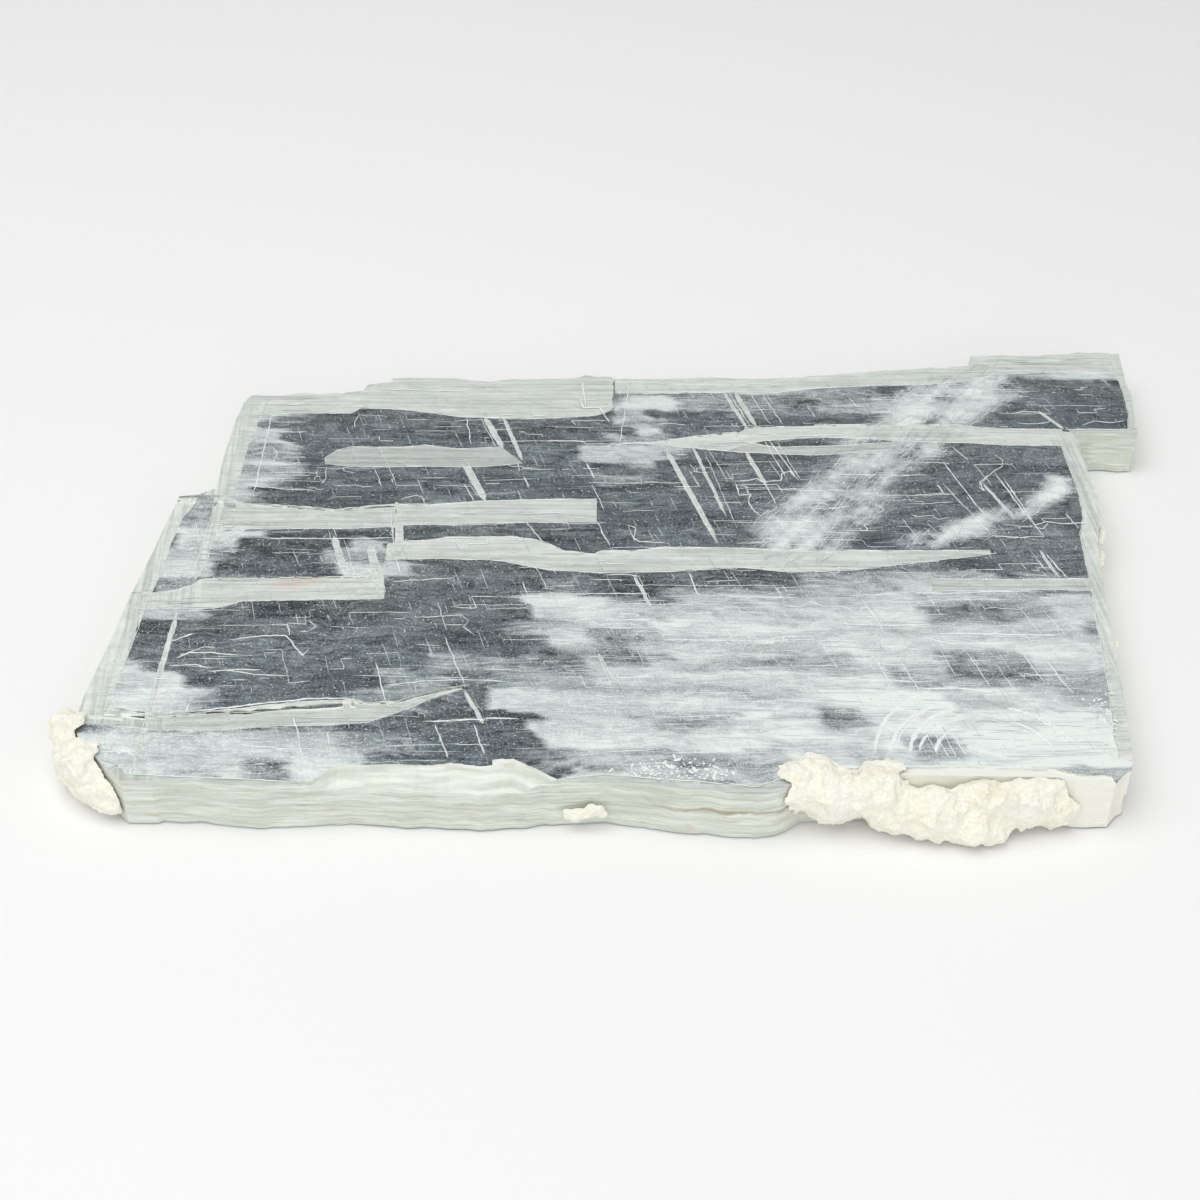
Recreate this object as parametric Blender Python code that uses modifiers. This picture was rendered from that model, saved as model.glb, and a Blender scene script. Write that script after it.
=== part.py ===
"""Selenite slab: one clear cleavage plate of gypsum with patches of cream matrix on its broken edges.

The plate lies on its cleavage face. +X runs along the long cleavage lines, +Y to the back, +Z up,
and the origin is the middle of the underside's bounding box.
"""

import math

import bmesh
import bpy
from mathutils import Vector, noise

MM = 0.001

# The plate, in millimetres.
THICK = 9.5
POINT_SPACING = 4.0
EDGE_WANDER = 0.35
LEDGE_DEPTH = 0.42
LEDGE_RISE = 0.16
LAYER_TOPS = (1.5, 3.1, 4.6, 6.3, 8.0, THICK)

# Lowered strips of the top face, where a thin cleavage leaf has come away.
BACK_STEP_DROP = 0.5
FRONT_STEP_DROP = 0.35
LEFT_STEP_DROP = 0.3

# The broken bevel on the front edge.
BEVEL_FROM_X = -59.0
BEVEL_TO_X = -17.5
BEVEL_SET_BACK = 5.6
BEVEL_DROP = 2.2

# The matrix crust.
CRUST_GAP = 0.3
CRUST_VOXEL = 0.8
CRUST_ROUGHNESS = 0.85
CRUST_FLOOR = 0.2

# Where the plate's plan is centred in the drawing below.
PLAN_CENTRE = (-2.4, -0.15)

LEFT_EDGE = (
    (-96.0, -54.0), (-97.6, -50.5), (-97.4, -43.5), (-96.6, -35.0), (-95.6, -25.5),
    (-94.9, -14.5), (-94.1, -7.5), (-93.4, -1.5), (-92.5, 8.0), (-91.5, 15.6),
)
LEFT_NOTCH = (
    (-88.0, 16.2), (-85.0, 18.6), (-85.2, 29.5), (-84.8, 43.0), (-84.0, 50.0),
)
BACK_EDGE = (
    (-82.9, 52.8), (-78.8, 52.4), (-73.0, 53.3), (-64.5, 53.2), (-60.5, 54.4),
    (-59.6, 56.8), (-55.1, 57.5), (-54.7, 59.3), (-43.0, 59.6), (-37.0, 58.2),
    (-26.0, 59.2), (-17.4, 59.6), (-15.0, 60.8), (-12.4, 59.9), (11.0, 60.8),
    (21.0, 60.2), (33.5, 61.6), (44.0, 63.2), (60.5, 65.0), (64.7, 65.7),
)
TONGUE = (
    (65.6, 69.2), (69.5, 69.9), (81.5, 69.9), (92.0, 71.0), (97.7, 70.7),
    (97.5, 65.3), (96.6, 54.4), (95.8, 46.3), (94.6, 38.4), (85.0, 38.9),
)
RIGHT_EDGE = (
    (81.6, 38.4), (82.1, 34.7), (81.9, 25.0), (82.2, 16.0), (81.2, 9.0),
    (79.6, 3.6), (78.2, -6.0), (77.5, -13.0), (76.3, -24.0), (75.5, -34.0),
    (74.6, -44.5), (73.5, -53.5), (73.2, -57.5), (72.0, -61.9),
)
FRONT_EDGE = (
    (69.0, -64.9), (63.0, -64.6), (60.5, -63.2), (46.0, -62.8), (33.0, -62.6),
    (20.0, -63.4), (16.0, -66.8), (12.6, -67.5), (2.4, -66.4), (-4.0, -65.3),
    (-11.4, -63.9), (-18.0, -64.3), (-30.0, -65.3), (-42.0, -65.0), (-52.0, -64.2),
    (-59.4, -64.7), (-67.0, -65.0), (-79.0, -63.8), (-87.5, -63.6), (-91.0, -60.0),
)
OUTLINE = LEFT_EDGE + LEFT_NOTCH + BACK_EDGE + TONGUE + RIGHT_EDGE + FRONT_EDGE

# Stretches of edge under the crust stay plain: (x from, x to, y from, y to).
PLAIN_EDGES = ((17.0, 66.0, -68.0, -60.0), (-99.0, -85.0, -66.0, -46.0))

BACK_STEP = (
    (-17.2, 66.0), (-16.4, 53.2), (-14.8, 47.8), (-12.0, 47.6), (-10.0, 42.1),
    (-8.4, 40.6), (-0.8, 41.6), (7.4, 37.0), (15.7, 38.7), (17.0, 40.2),
    (37.8, 41.4), (60.0, 41.3), (67.5, 39.9), (79.0, 39.8), (99.0, 33.0),
    (104.0, 60.0), (100.0, 76.0), (-10.0, 76.0),
)
FRONT_STEP = (
    (-101.0, -70.0), (-101.0, -48.3), (-83.6, -48.0), (-69.4, -46.7), (-53.1, -44.6),
    (-46.6, -44.9), (-38.8, -41.2), (-33.7, -40.2), (-30.0, -52.0), (-27.5, -72.0),
)
LEFT_STEP = (
    (-101.0, -14.4), (-91.0, -14.6), (-84.7, -12.4), (-83.1, -10.4), (-63.8, -10.1),
    (-51.8, -9.7), (-49.6, 1.0), (-50.4, 12.9), (-61.6, 11.5), (-77.1, 13.4),
    (-90.5, 14.4), (-101.0, 17.0),
)

# Lumps of crust: (x, y, z, radius along x, radius along y, radius along z).
FRONT_RIGHT_LUMPS = (
    (19.0, -62.6, 7.2, 4.2, 4.6, 3.9), (25.0, -63.6, 6.0, 5.4, 4.4, 5.2),
    (31.5, -63.4, 6.6, 5.2, 4.8, 4.6), (35.0, -64.8, 4.2, 5.2, 4.4, 4.4),
    (41.0, -66.2, 4.4, 5.6, 3.8, 4.8), (46.0, -67.2, 2.6, 4.8, 3.8, 3.0),
    (50.0, -66.8, 2.0, 3.2, 3.4, 2.2), (49.0, -65.4, 6.4, 6.0, 3.2, 3.8),
    (55.5, -64.8, 5.0, 5.0, 3.0, 4.6), (60.5, -64.2, 3.8, 3.8, 2.8, 3.6),
    (22.0, -60.6, 8.8, 3.2, 2.6, 2.2), (33.5, -61.0, 8.6, 3.6, 2.6, 2.4),
    (57.5, -63.6, 8.0, 5.4, 2.4, 2.0),
)
FRONT_LEFT_LUMPS = (
    (-97.6, -50.6, 6.6, 3.6, 5.0, 3.9), (-99.2, -49.2, 7.6, 3.0, 4.2, 2.5),
    (-96.0, -55.0, 5.0, 4.6, 4.6, 4.8), (-92.6, -58.6, 4.6, 4.4, 4.0, 4.6),
    (-94.4, -56.6, 8.0, 4.4, 4.4, 2.4), (-90.0, -61.6, 3.4, 3.4, 2.6, 3.0),
    (-98.4, -53.4, 3.6, 2.6, 3.6, 3.2),
)
FRONT_MIDDLE_LUMPS = (
    (-15.8, -64.9, 3.0, 2.3, 1.0, 1.2), (-13.2, -64.6, 3.7, 1.8, 1.0, 1.5),
    (-11.9, -64.6, 2.9, 1.4, 0.9, 1.0),
)
RIGHT_BACK_LUMPS = ((81.6, 8.0, 6.6, 1.1, 1.5, 1.0), (81.2, 6.6, 5.8, 1.0, 1.2, 0.9))
RIGHT_MIDDLE_LUMPS = ((80.2, 1.2, 6.2, 1.1, 1.4, 0.9), (80.0, 0.2, 5.4, 0.9, 1.1, 0.8))
RIGHT_FRONT_LUMPS = ((77.0, -25.4, 6.2, 1.2, 1.5, 0.9), (76.9, -27.0, 5.4, 0.9, 1.2, 0.8))

SLAB_COLOUR = (0.80, 0.84, 0.80, 1.0)
CRUST_COLOUR = (0.86, 0.84, 0.72, 1.0)


def clear_objects():
    for obj in list(bpy.data.objects):
        bpy.data.objects.remove(obj, do_unlink=True)


def new_collection(name, in_render):
    collection = bpy.data.collections.new(name)
    bpy.context.scene.collection.children.link(collection)
    collection.hide_render = not in_render
    return collection


def new_material(name, colour, roughness, transmission):
    material = bpy.data.materials.new(name)
    material.use_nodes = True
    shader = material.node_tree.nodes["Principled BSDF"]
    shader.inputs["Base Color"].default_value = colour
    shader.inputs["Roughness"].default_value = roughness
    shader.inputs["IOR"].default_value = 1.52
    shader.inputs["Transmission Weight"].default_value = transmission
    return material


def object_from(name, bm, collection, material=None):
    mesh = bpy.data.meshes.new(name)
    bm.to_mesh(mesh)
    bm.free()
    obj = bpy.data.objects.new(name, mesh)
    collection.objects.link(obj)
    if material:
        mesh.materials.append(material)
    return obj


def make_cutter(obj):
    obj.hide_render = True
    obj.display_type = "WIRE"
    return obj


def placed(x, y):
    """A point of the plan drawing, about the plan's centre."""
    return x - PLAN_CENTRE[0], y - PLAN_CENTRE[1]


def dense_outline(points, spacing):
    """The outline with extra points on its longer sides, each nudged a little off the line."""
    result = []
    for index, start in enumerate(points):
        end = points[(index + 1) % len(points)]
        side = Vector(end) - Vector(start)
        count = max(1, round(side.length / spacing))
        across = Vector((-side.y, side.x)).normalized()
        for step in range(count):
            point = Vector(start) + side * (step / count)
            if step and not on_plain_edge(point):
                wander = noise.noise(Vector((point.x * 0.31, point.y * 0.31, 4.0)))
                point = point + across * wander * EDGE_WANDER * 2.0
            result.append(point)
    return result


def on_plain_edge(point):
    return any(
        x0 <= point.x <= x1 and y0 <= point.y <= y1 for x0, x1, y0, y1 in PLAIN_EDGES
    )


def outward_normals(points):
    """Unit vectors out of a clockwise outline, one at each point."""
    normals = []
    for index, point in enumerate(points):
        along = points[(index + 1) % len(points)] - points[index - 1]
        normals.append(Vector((-along.y, along.x)).normalized())
    return normals


def ledge_offset(point, layer):
    """How far one cleavage layer's edge stands in from the drawn outline, in millimetres."""
    if on_plain_edge(point):
        return 0.0
    broad = noise.noise(Vector((point.x * 0.045, point.y * 0.045, layer * 7.3)))
    fine = noise.noise(Vector((point.x * 0.35, point.y * 0.35, layer * 3.1 + 40.0)))
    return (0.5 + 0.9 * broad + 0.5 * fine) * LEDGE_DEPTH


def layered_plate(name, outline, collection, material):
    """Extrudes the outline layer by layer, each layer's edge a little in or out of the last."""
    points = dense_outline(outline, POINT_SPACING)
    normals = outward_normals(points)
    bm = bmesh.new()
    face = bm.faces.new([bm.verts.new((p.x, p.y, 0.0)) for p in points])
    ring = list(face.verts)
    for layer, top in enumerate(LAYER_TOPS):
        offsets = [ledge_offset(p, layer) for p in points]
        if layer:
            ring, face = extruded(bm, face, len(points))
            place_ring(ring, points, normals, offsets, LAYER_TOPS[layer - 1] + LEDGE_RISE)
        else:
            place_ring(ring, points, normals, offsets, 0.0)
        ring, face = extruded(bm, face, len(points))
        place_ring(ring, points, normals, offsets, top)
    bmesh.ops.recalc_face_normals(bm, faces=bm.faces[:])
    scale_to_metres(bm)
    return object_from(name, bm, collection, material)


def extruded(bm, face, count):
    """Extrudes one face and returns the new ring of vertices, in the old order, and the new face."""
    old = list(face.verts)
    order = {vert: index for index, vert in enumerate(old)}
    result = bmesh.ops.extrude_face_region(bm, geom=[face])["geom"]
    new_face = next(g for g in result if isinstance(g, bmesh.types.BMFace))
    ring = [None] * count
    for vert in new_face.verts:
        for edge in vert.link_edges:
            other = edge.other_vert(vert)
            if other in order:
                ring[order[other]] = vert
    if face.is_valid and len(bm.faces) > count + 2:
        bm.faces.remove(face)
    return ring, new_face


def place_ring(ring, points, normals, offsets, height):
    for vert, point, normal, offset in zip(ring, points, normals, offsets):
        x, y = placed(*(point - normal * offset))
        vert.co = (x, y, height)


def scale_to_metres(bm):
    bmesh.ops.scale(bm, vec=(MM, MM, MM), verts=bm.verts[:])


def prism(name, outline, bottom, top, collection):
    """An upright prism on a plan outline, as a cutter."""
    bm = bmesh.new()
    face = bm.faces.new([bm.verts.new((*placed(x, y), bottom)) for x, y in outline])
    result = bmesh.ops.extrude_face_region(bm, geom=[face])["geom"]
    raised = [g for g in result if isinstance(g, bmesh.types.BMVert)]
    bmesh.ops.translate(bm, vec=(0.0, 0.0, top - bottom), verts=raised)
    bmesh.ops.recalc_face_normals(bm, faces=bm.faces[:])
    scale_to_metres(bm)
    return make_cutter(object_from(name, bm, collection))


def bevel_cutter(collection):
    """A long block, rolled so that its lower face slopes down to the front, with a broken, uneven edge."""
    length = BEVEL_TO_X - BEVEL_FROM_X
    slope = math.atan2(BEVEL_DROP, BEVEL_SET_BACK)
    steps = 14
    bm = bmesh.new()
    bmesh.ops.create_grid(bm, x_segments=steps, y_segments=1, size=0.5)
    for vert in bm.verts:
        along = BEVEL_FROM_X + (vert.co.x + 0.5) * length
        back = vert.co.y > 0.0
        ragged = 0.6 * noise.noise(Vector((along * 0.21, 3.0, 8.0 if back else 2.0)))
        ends = min(1.0, (along - BEVEL_FROM_X) / 5.0, (BEVEL_TO_X - along) / 8.0)
        reach = BEVEL_SET_BACK * ends + ragged
        front = -70.0
        y = -64.6 + reach if back else front
        fall = (-64.6 + reach - front) * math.tan(slope)
        z = THICK + 0.02 if back else THICK - fall
        x, y = placed(along, y)
        vert.co = (x, y, z)
    result = bmesh.ops.extrude_face_region(bm, geom=bm.faces[:])["geom"]
    for vert in [g for g in result if isinstance(g, bmesh.types.BMVert)]:
        vert.co.z = THICK + 6.0
    bmesh.ops.recalc_face_normals(bm, faces=bm.faces[:])
    scale_to_metres(bm)
    return make_cutter(object_from("bevel_cutter", bm, collection))


def apply_modifiers(obj):
    """Turns the object's mesh into what its modifiers make of it."""
    graph = bpy.context.evaluated_depsgraph_get()
    mesh = bpy.data.meshes.new_from_object(obj.evaluated_get(graph))
    old = obj.data
    obj.modifiers.clear()
    obj.data = mesh
    bpy.data.meshes.remove(old)
    mesh.name = obj.name


def cut(obj, cutter):
    modifier = obj.modifiers.new(cutter.name, "BOOLEAN")
    modifier.operation = "DIFFERENCE"
    modifier.solver = "EXACT"
    modifier.object = cutter
    apply_modifiers(obj)


def keep_largest_island(obj):
    """Drops grains that the cuts have left loose."""
    bm = bmesh.new()
    bm.from_mesh(obj.data)
    left = set(bm.verts)
    islands = []
    while left:
        stack = [left.pop()]
        island = set(stack)
        while stack:
            for edge in stack.pop().link_edges:
                for vert in edge.verts:
                    if vert in left:
                        left.remove(vert)
                        island.add(vert)
                        stack.append(vert)
        islands.append(island)
    islands.sort(key=len, reverse=True)
    loose = [vert for island in islands[1:] for vert in island]
    bmesh.ops.delete(bm, geom=loose, context="VERTS")
    bm.to_mesh(obj.data)
    bm.free()


def crust(name, lumps, seed, voxel, keep, collection, material, cutters):
    """Overlapping lumps grown into one rough skin, cut back to leave a gap round the plate."""
    bm = bmesh.new()
    for x, y, z, rx, ry, rz in lumps:
        px, py = placed(x, y)
        made = bmesh.ops.create_icosphere(bm, subdivisions=3, radius=1.0)["verts"]
        bmesh.ops.scale(bm, vec=(rx, ry, rz), verts=made)
        bmesh.ops.translate(bm, vec=(px, py, z), verts=made)
    scale_to_metres(bm)
    obj = object_from(name, bm, collection, material)
    skin = obj.modifiers.new("one_skin", "REMESH")
    skin.mode = "VOXEL"
    skin.voxel_size = voxel * MM
    apply_modifiers(obj)
    for vert in obj.data.vertices:
        at = vert.co / MM
        coarse = noise.fractal(at * 0.55 + Vector((seed, 0.0, 0.0)), 0.9, 2.1, 3)
        vert.co += vert.normal * coarse * CRUST_ROUGHNESS * MM * min(1.0, voxel / 0.5)
    thin = obj.modifiers.new("fewer_faces", "DECIMATE")
    thin.ratio = keep
    apply_modifiers(obj)
    for cutter in cutters:
        cut(obj, cutter)
    keep_largest_island(obj)
    return obj


def main():
    clear_objects()
    parts = new_collection("selenite_slab_on_matrix", True)
    cutters = new_collection("cutters", False)
    clear = new_material("selenite", SLAB_COLOUR, 0.15, 0.6)
    cream = new_material("matrix", CRUST_COLOUR, 0.9, 0.0)

    plate = layered_plate("selenite_slab", OUTLINE, parts, clear)
    steps = (
        ("back_step", BACK_STEP, BACK_STEP_DROP),
        ("front_step", FRONT_STEP, FRONT_STEP_DROP),
        ("left_step", LEFT_STEP, LEFT_STEP_DROP),
    )
    for name, outline, drop in steps:
        cut(plate, prism(name, outline, THICK - drop, THICK + 4.0, cutters))
    cut(plate, bevel_cutter(cutters))

    whole_gap = grown_plate_cutter(cutters)
    floor = floor_cutter(cutters)
    both = (whole_gap, floor)
    crust("crust_front_right", FRONT_RIGHT_LUMPS, 3.0, CRUST_VOXEL, 0.55, parts, cream, both)
    crust("crust_front_left", FRONT_LEFT_LUMPS, 11.0, CRUST_VOXEL, 0.5, parts, cream, both)
    crust("crust_front_middle", FRONT_MIDDLE_LUMPS, 23.0, 0.4, 0.4, parts, cream, both)
    crust("crust_right_back", RIGHT_BACK_LUMPS, 31.0, 0.3, 0.3, parts, cream, both)
    crust("crust_right_middle", RIGHT_MIDDLE_LUMPS, 37.0, 0.3, 0.3, parts, cream, both)
    crust("crust_right_front", RIGHT_FRONT_LUMPS, 41.0, 0.3, 0.3, parts, cream, both)


def grown_plate_cutter(collection):
    """The plate's plan grown by the gap, up to just over its top face."""
    points = dense_outline(OUTLINE, POINT_SPACING)
    normals = outward_normals(points)
    grown = [tuple(p + n * CRUST_GAP) for p, n in zip(points, normals)]
    return prism("gap_cutter", grown, -5.0, THICK + CRUST_GAP, collection)


def floor_cutter(collection):
    """Everything below the level that the crust stops at."""
    wide = ((-120.0, -90.0), (-120.0, 90.0), (120.0, 90.0), (120.0, -90.0))
    return prism("floor_cutter", wide, -20.0, CRUST_FLOOR, collection)


main()
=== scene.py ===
import math

import bmesh
import bpy
import numpy as np
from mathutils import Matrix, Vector, noise


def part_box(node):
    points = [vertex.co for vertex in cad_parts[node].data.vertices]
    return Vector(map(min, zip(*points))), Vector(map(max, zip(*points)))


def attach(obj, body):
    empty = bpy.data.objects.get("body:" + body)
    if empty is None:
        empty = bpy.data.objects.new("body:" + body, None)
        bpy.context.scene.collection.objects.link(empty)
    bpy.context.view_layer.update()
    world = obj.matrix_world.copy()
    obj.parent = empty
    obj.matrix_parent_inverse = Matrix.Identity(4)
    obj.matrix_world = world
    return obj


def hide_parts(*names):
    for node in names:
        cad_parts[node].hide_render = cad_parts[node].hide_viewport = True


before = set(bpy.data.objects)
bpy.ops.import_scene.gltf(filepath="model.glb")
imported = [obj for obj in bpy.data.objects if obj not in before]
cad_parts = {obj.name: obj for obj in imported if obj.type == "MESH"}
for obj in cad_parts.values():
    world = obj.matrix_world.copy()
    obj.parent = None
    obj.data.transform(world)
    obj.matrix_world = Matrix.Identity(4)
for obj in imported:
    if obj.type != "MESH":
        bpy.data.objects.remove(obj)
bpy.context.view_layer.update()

MM = 0.001

# The plate's thickness, and how high its cutters reach.
THICK = 9.5
ABOVE = THICK + 4.0

# The point of the plan that lies at the object's origin.
PLAN_CENTRE = (-2.4, -0.15, 0.0)

# The slots of the two materials.
MATRIX = "matrix"
SELENITE = "selenite"

# ---------------------------------------------------------------- the plate's plan, in millimetres

LEFT_EDGE = (
    (-96.0, -54.0), (-97.6, -50.5), (-97.4, -43.5), (-96.6, -35.0), (-95.6, -25.5),
    (-94.9, -14.5), (-94.1, -7.5), (-93.4, -1.5), (-92.5, 8.0), (-91.5, 15.6),
)
LEFT_NOTCH = (
    (-88.0, 16.2), (-85.0, 18.6), (-85.2, 29.5), (-84.8, 43.0), (-84.0, 50.0),
)
BACK_EDGE = (
    (-82.9, 52.8), (-78.8, 52.4), (-73.0, 53.3), (-64.5, 53.2), (-60.5, 54.4),
    (-59.6, 56.8), (-55.1, 57.5), (-54.7, 59.3), (-43.0, 59.6), (-37.0, 58.2),
    (-26.0, 59.2), (-17.4, 59.6), (-15.0, 60.8), (-12.4, 59.9), (11.0, 60.8),
    (21.0, 60.2), (33.5, 61.6), (44.0, 63.2), (60.5, 65.0), (64.7, 65.7),
)
TONGUE = (
    (65.6, 69.2), (69.5, 69.9), (81.5, 69.9), (92.0, 71.0), (97.7, 70.7),
    (97.5, 65.3), (96.6, 54.4), (95.8, 46.3), (94.6, 38.4), (85.0, 38.9),
)
RIGHT_EDGE = (
    (81.6, 38.4), (82.1, 34.7), (81.9, 25.0), (82.2, 16.0), (81.2, 9.0),
    (79.6, 3.6), (78.2, -6.0), (77.5, -13.0), (76.3, -24.0), (75.5, -34.0),
    (74.6, -44.5), (73.5, -53.5), (73.2, -57.5), (72.0, -61.9),
)
FRONT_EDGE = (
    (69.0, -64.9), (63.0, -64.6), (60.5, -63.2), (46.0, -62.8), (33.0, -62.6),
    (20.0, -63.4), (16.0, -66.8), (12.6, -67.5), (2.4, -66.4), (-4.0, -65.3),
    (-11.4, -63.9), (-18.0, -64.3), (-30.0, -65.3), (-42.0, -65.0), (-52.0, -64.2),
    (-59.4, -64.7), (-67.0, -65.0), (-79.0, -63.8), (-87.5, -63.6), (-91.0, -60.0),
)
OUTLINE = LEFT_EDGE + LEFT_NOTCH + BACK_EDGE + TONGUE + RIGHT_EDGE + FRONT_EDGE

# Where the outline stays smooth: x from and to, y from and to.
PLAIN_EDGES = (
    (17.0, 66.0, -68.0, -60.0), (-99.0, -82.0, -66.0, 52.0), (70.0, 84.0, -58.0, 38.0),
)

BACK_STEP = (
    (-9.0, 66.0), (-9.1, 53.2), (-9.4, 47.8), (-9.8, 44.0), (-10.0, 42.1),
    (-8.4, 40.6), (-0.8, 41.6), (7.4, 37.0), (15.7, 38.7), (17.0, 40.2),
    (37.8, 41.4), (60.0, 41.3), (67.5, 39.9), (79.0, 39.8), (99.0, 33.0),
    (104.0, 60.0), (100.0, 76.0), (-10.0, 76.0),
)
FRONT_STEP = (
    (-101.0, -70.0), (-101.0, -48.3), (-83.6, -48.0), (-69.4, -46.7), (-53.1, -44.6),
    (-46.6, -44.9), (-38.8, -41.2), (-33.7, -40.2), (-30.0, -52.0), (-27.5, -72.0),
)
LEFT_STEP = (
    (-101.0, -14.4), (-91.0, -14.6), (-84.7, -12.4), (-83.1, -10.4), (-63.8, -10.1),
    (-51.8, -9.7), (-49.6, 1.0), (-50.4, 12.9), (-61.6, 11.5), (-77.1, 13.4),
    (-90.5, 14.4), (-101.0, 17.0),
)

# The low cleavage steps of the top face: where, and how far down.
STEPS = ((BACK_STEP, 0.5), (FRONT_STEP, 0.35), (LEFT_STEP, 0.3))

# The bevel on the front edge: x from and to, its reach back from its front line, and its drop.
BEVEL_FROM, BEVEL_TO = -59.0, -17.5
BEVEL_FRONT = -64.6
BEVEL_REACH = 5.6
BEVEL_DROP = 2.2

# How far the bevel's cutter reaches out past the front edge.
BEVEL_OVERHANG = 5.4

# The heights at which the plate's layers end, and how many leaves show in each layer's edge.
LAYER_TOPS = (1.5, 3.1, 4.6, 6.3, 8.0, THICK)
LEAVES = 3

# A face is flat if it points up or down this much. The top's flat faces all lie above this height.
FLAT = 0.97
LOWEST_TOP = THICK - 0.9

# How deep the pale bands and the bars are cut at their first line, and at their last.
SHALLOW = 0.03
BAND_DEPTH = 0.30
BAR_DEPTH = 0.12

# How wide a bar must be to be cut, how wide the lines along its sides are, and how far past the
# plate's edge a band at the rim is cut.
CUT_WIDTH = 0.5
BORDER_WIDTH = 0.16
PAST_EDGE = 1.6

# How far apart the points along a ridge are.
RIDGE_STEP = 0.35

# How far ridges and strewn slivers keep from the plate's edge, and slivers from the bevel.
RIDGE_ROOM = 0.6
SLIVER_ROOM = 1.4
BEVEL_ROOM = 2.0

# ---------------------------------------------------------------- small tools


def rough(x, y, z=0.0):
    """Smooth noise at one place."""
    return noise.noise(Vector((x, y, z)))


def show(obj, slot, *nodes):
    """Adds a finished piece to the scene, hangs it on the root body, and hides the CAD parts it replaces."""
    bpy.context.scene.collection.objects.link(obj)
    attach(obj, "root")
    if nodes:
        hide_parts(*nodes)
    return obj


def piece(name, mesh, material):
    """An object with one material, not yet in the scene."""
    mesh.materials.clear()
    mesh.materials.append(material)
    return bpy.data.objects.new(name, mesh)


def mesh_of(name, points, faces):
    """A mesh from points in millimetres of the plan drawing."""
    mesh = bpy.data.meshes.new(name)
    at = np.asarray(points, float) - PLAN_CENTRE
    mesh.from_pydata((at * MM).tolist(), [], faces)
    mesh.update()
    return mesh


def corners(mesh):
    """Where a mesh's corners are, in metres."""
    at = np.empty(len(mesh.vertices) * 3)
    mesh.vertices.foreach_get("co", at)
    return at.reshape(-1, 3)


def outward(mesh):
    """Turns the faces of a closed mesh outwards."""
    bm = bmesh.new()
    bm.from_mesh(mesh)
    bmesh.ops.recalc_face_normals(bm, faces=bm.faces[:])
    bm.to_mesh(mesh)
    bm.free()


def cutter_of(verts, faces):
    """A closed cutting shape."""
    mesh = mesh_of("cutter", verts, faces)
    outward(mesh)
    return bpy.data.objects.new("cutter", mesh)


# ---------------------------------------------------------------- the plate


def on_plain_edge(point):
    """Whether the outline stays smooth at a point."""
    return any(
        x0 <= point.x <= x1 and y0 <= point.y <= y1 for x0, x1, y0, y1 in PLAIN_EDGES
    )


def ragged_outline(outline, spacing, waves, seed, depth, moves):
    """An outline with many more points, each moved a little in or out where it may move."""
    result = []
    for index, start in enumerate(outline):
        side = Vector(outline[(index + 1) % len(outline)]) - Vector(start)
        count = max(1, round(side.length / spacing))
        across = Vector((-side.y, side.x)).normalized()
        for step in range(count):
            point = Vector(start) + side * (step / count)
            if moves(step, point):
                point = point + across * rough(point.x * waves, point.y * waves, seed) * depth
            result.append(point)
    return result


def between_corners(step, point):
    """Whether a point of the plate's outline is past its corner and off the plain edges."""
    return step > 0 and not on_plain_edge(point)


def plate_mesh():
    """The plate before it is cut: layers of thin leaves whose broken edges step in and out."""
    points = ragged_outline(OUTLINE, 0.9, 0.31, 4.0, 0.4, between_corners)
    count = len(points)
    flat = np.array([(p.x, p.y) for p in points])
    along = np.roll(flat, -1, 0) - np.roll(flat, 1, 0)
    out = np.stack([-along[:, 1], along[:, 0]], 1)
    out /= np.linalg.norm(out, axis=1)[:, None]
    plain = np.array([on_plain_edge(p) for p in points])
    rings = []
    low = 0.0
    for layer, top in enumerate(LAYER_TOPS):
        broad = np.array([rough(p.x * 0.045, p.y * 0.045, layer * 7.3) for p in points])
        fine = np.array([rough(p.x * 0.35, p.y * 0.35, layer * 3.1 + 40.0) for p in points])
        base = (0.5 + 0.9 * broad + 0.5 * fine) * 0.42
        for leaf in range(LEAVES):
            z0 = low + (top - low) * leaf / LEAVES
            z1 = low + (top - low) * (leaf + 1) / LEAVES
            edge = np.array(
                [rough(p.x * 0.22, p.y * 0.22, layer * 5.1 + leaf * 1.7) for p in points]
            )
            grain = np.array(
                [rough(p.x * 1.3, p.y * 1.3, layer * 2.3 + leaf * 9.1) for p in points]
            )
            inset = base + 0.16 * edge + 0.10 * grain + 0.10
            inset = np.where(plain, 0.0, np.clip(inset, 0.0, 1.2))
            rings.append((z0 + (0.05 if rings else 0.0), inset))
            rings.append((z1 - 0.02 if z1 < THICK else z1, inset))
        low = top
    verts = []
    for z, inset in rings:
        at = flat - out * inset[:, None]
        verts.append(np.column_stack([at, np.full(count, z)]))
    verts = np.concatenate(verts)
    faces = [list(range(count))]
    for ring in range(len(rings) - 1):
        a = ring * count
        for i in range(count):
            j = (i + 1) % count
            faces.append([a + i, a + count + i, a + count + j, a + j])
    last = (len(rings) - 1) * count
    faces.append([last + i for i in range(count)][::-1])
    mesh = mesh_of("selenite_plate", verts, faces)
    outward(mesh)
    return mesh


def prism(outline, bottom, top, seed):
    """A cutter whose plan edge is a little ragged."""
    points = ragged_outline(outline, 1.2, 0.5, seed, 0.5, lambda step, point: True)
    n = len(points)
    verts = [(p.x, p.y, z) for z in (bottom, top) for p in points]
    faces = [list(range(n)), [n + i for i in range(n)][::-1]]
    faces += [[i, n + i, n + (i + 1) % n, (i + 1) % n] for i in range(n)]
    return cutter_of(verts, faces)


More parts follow.
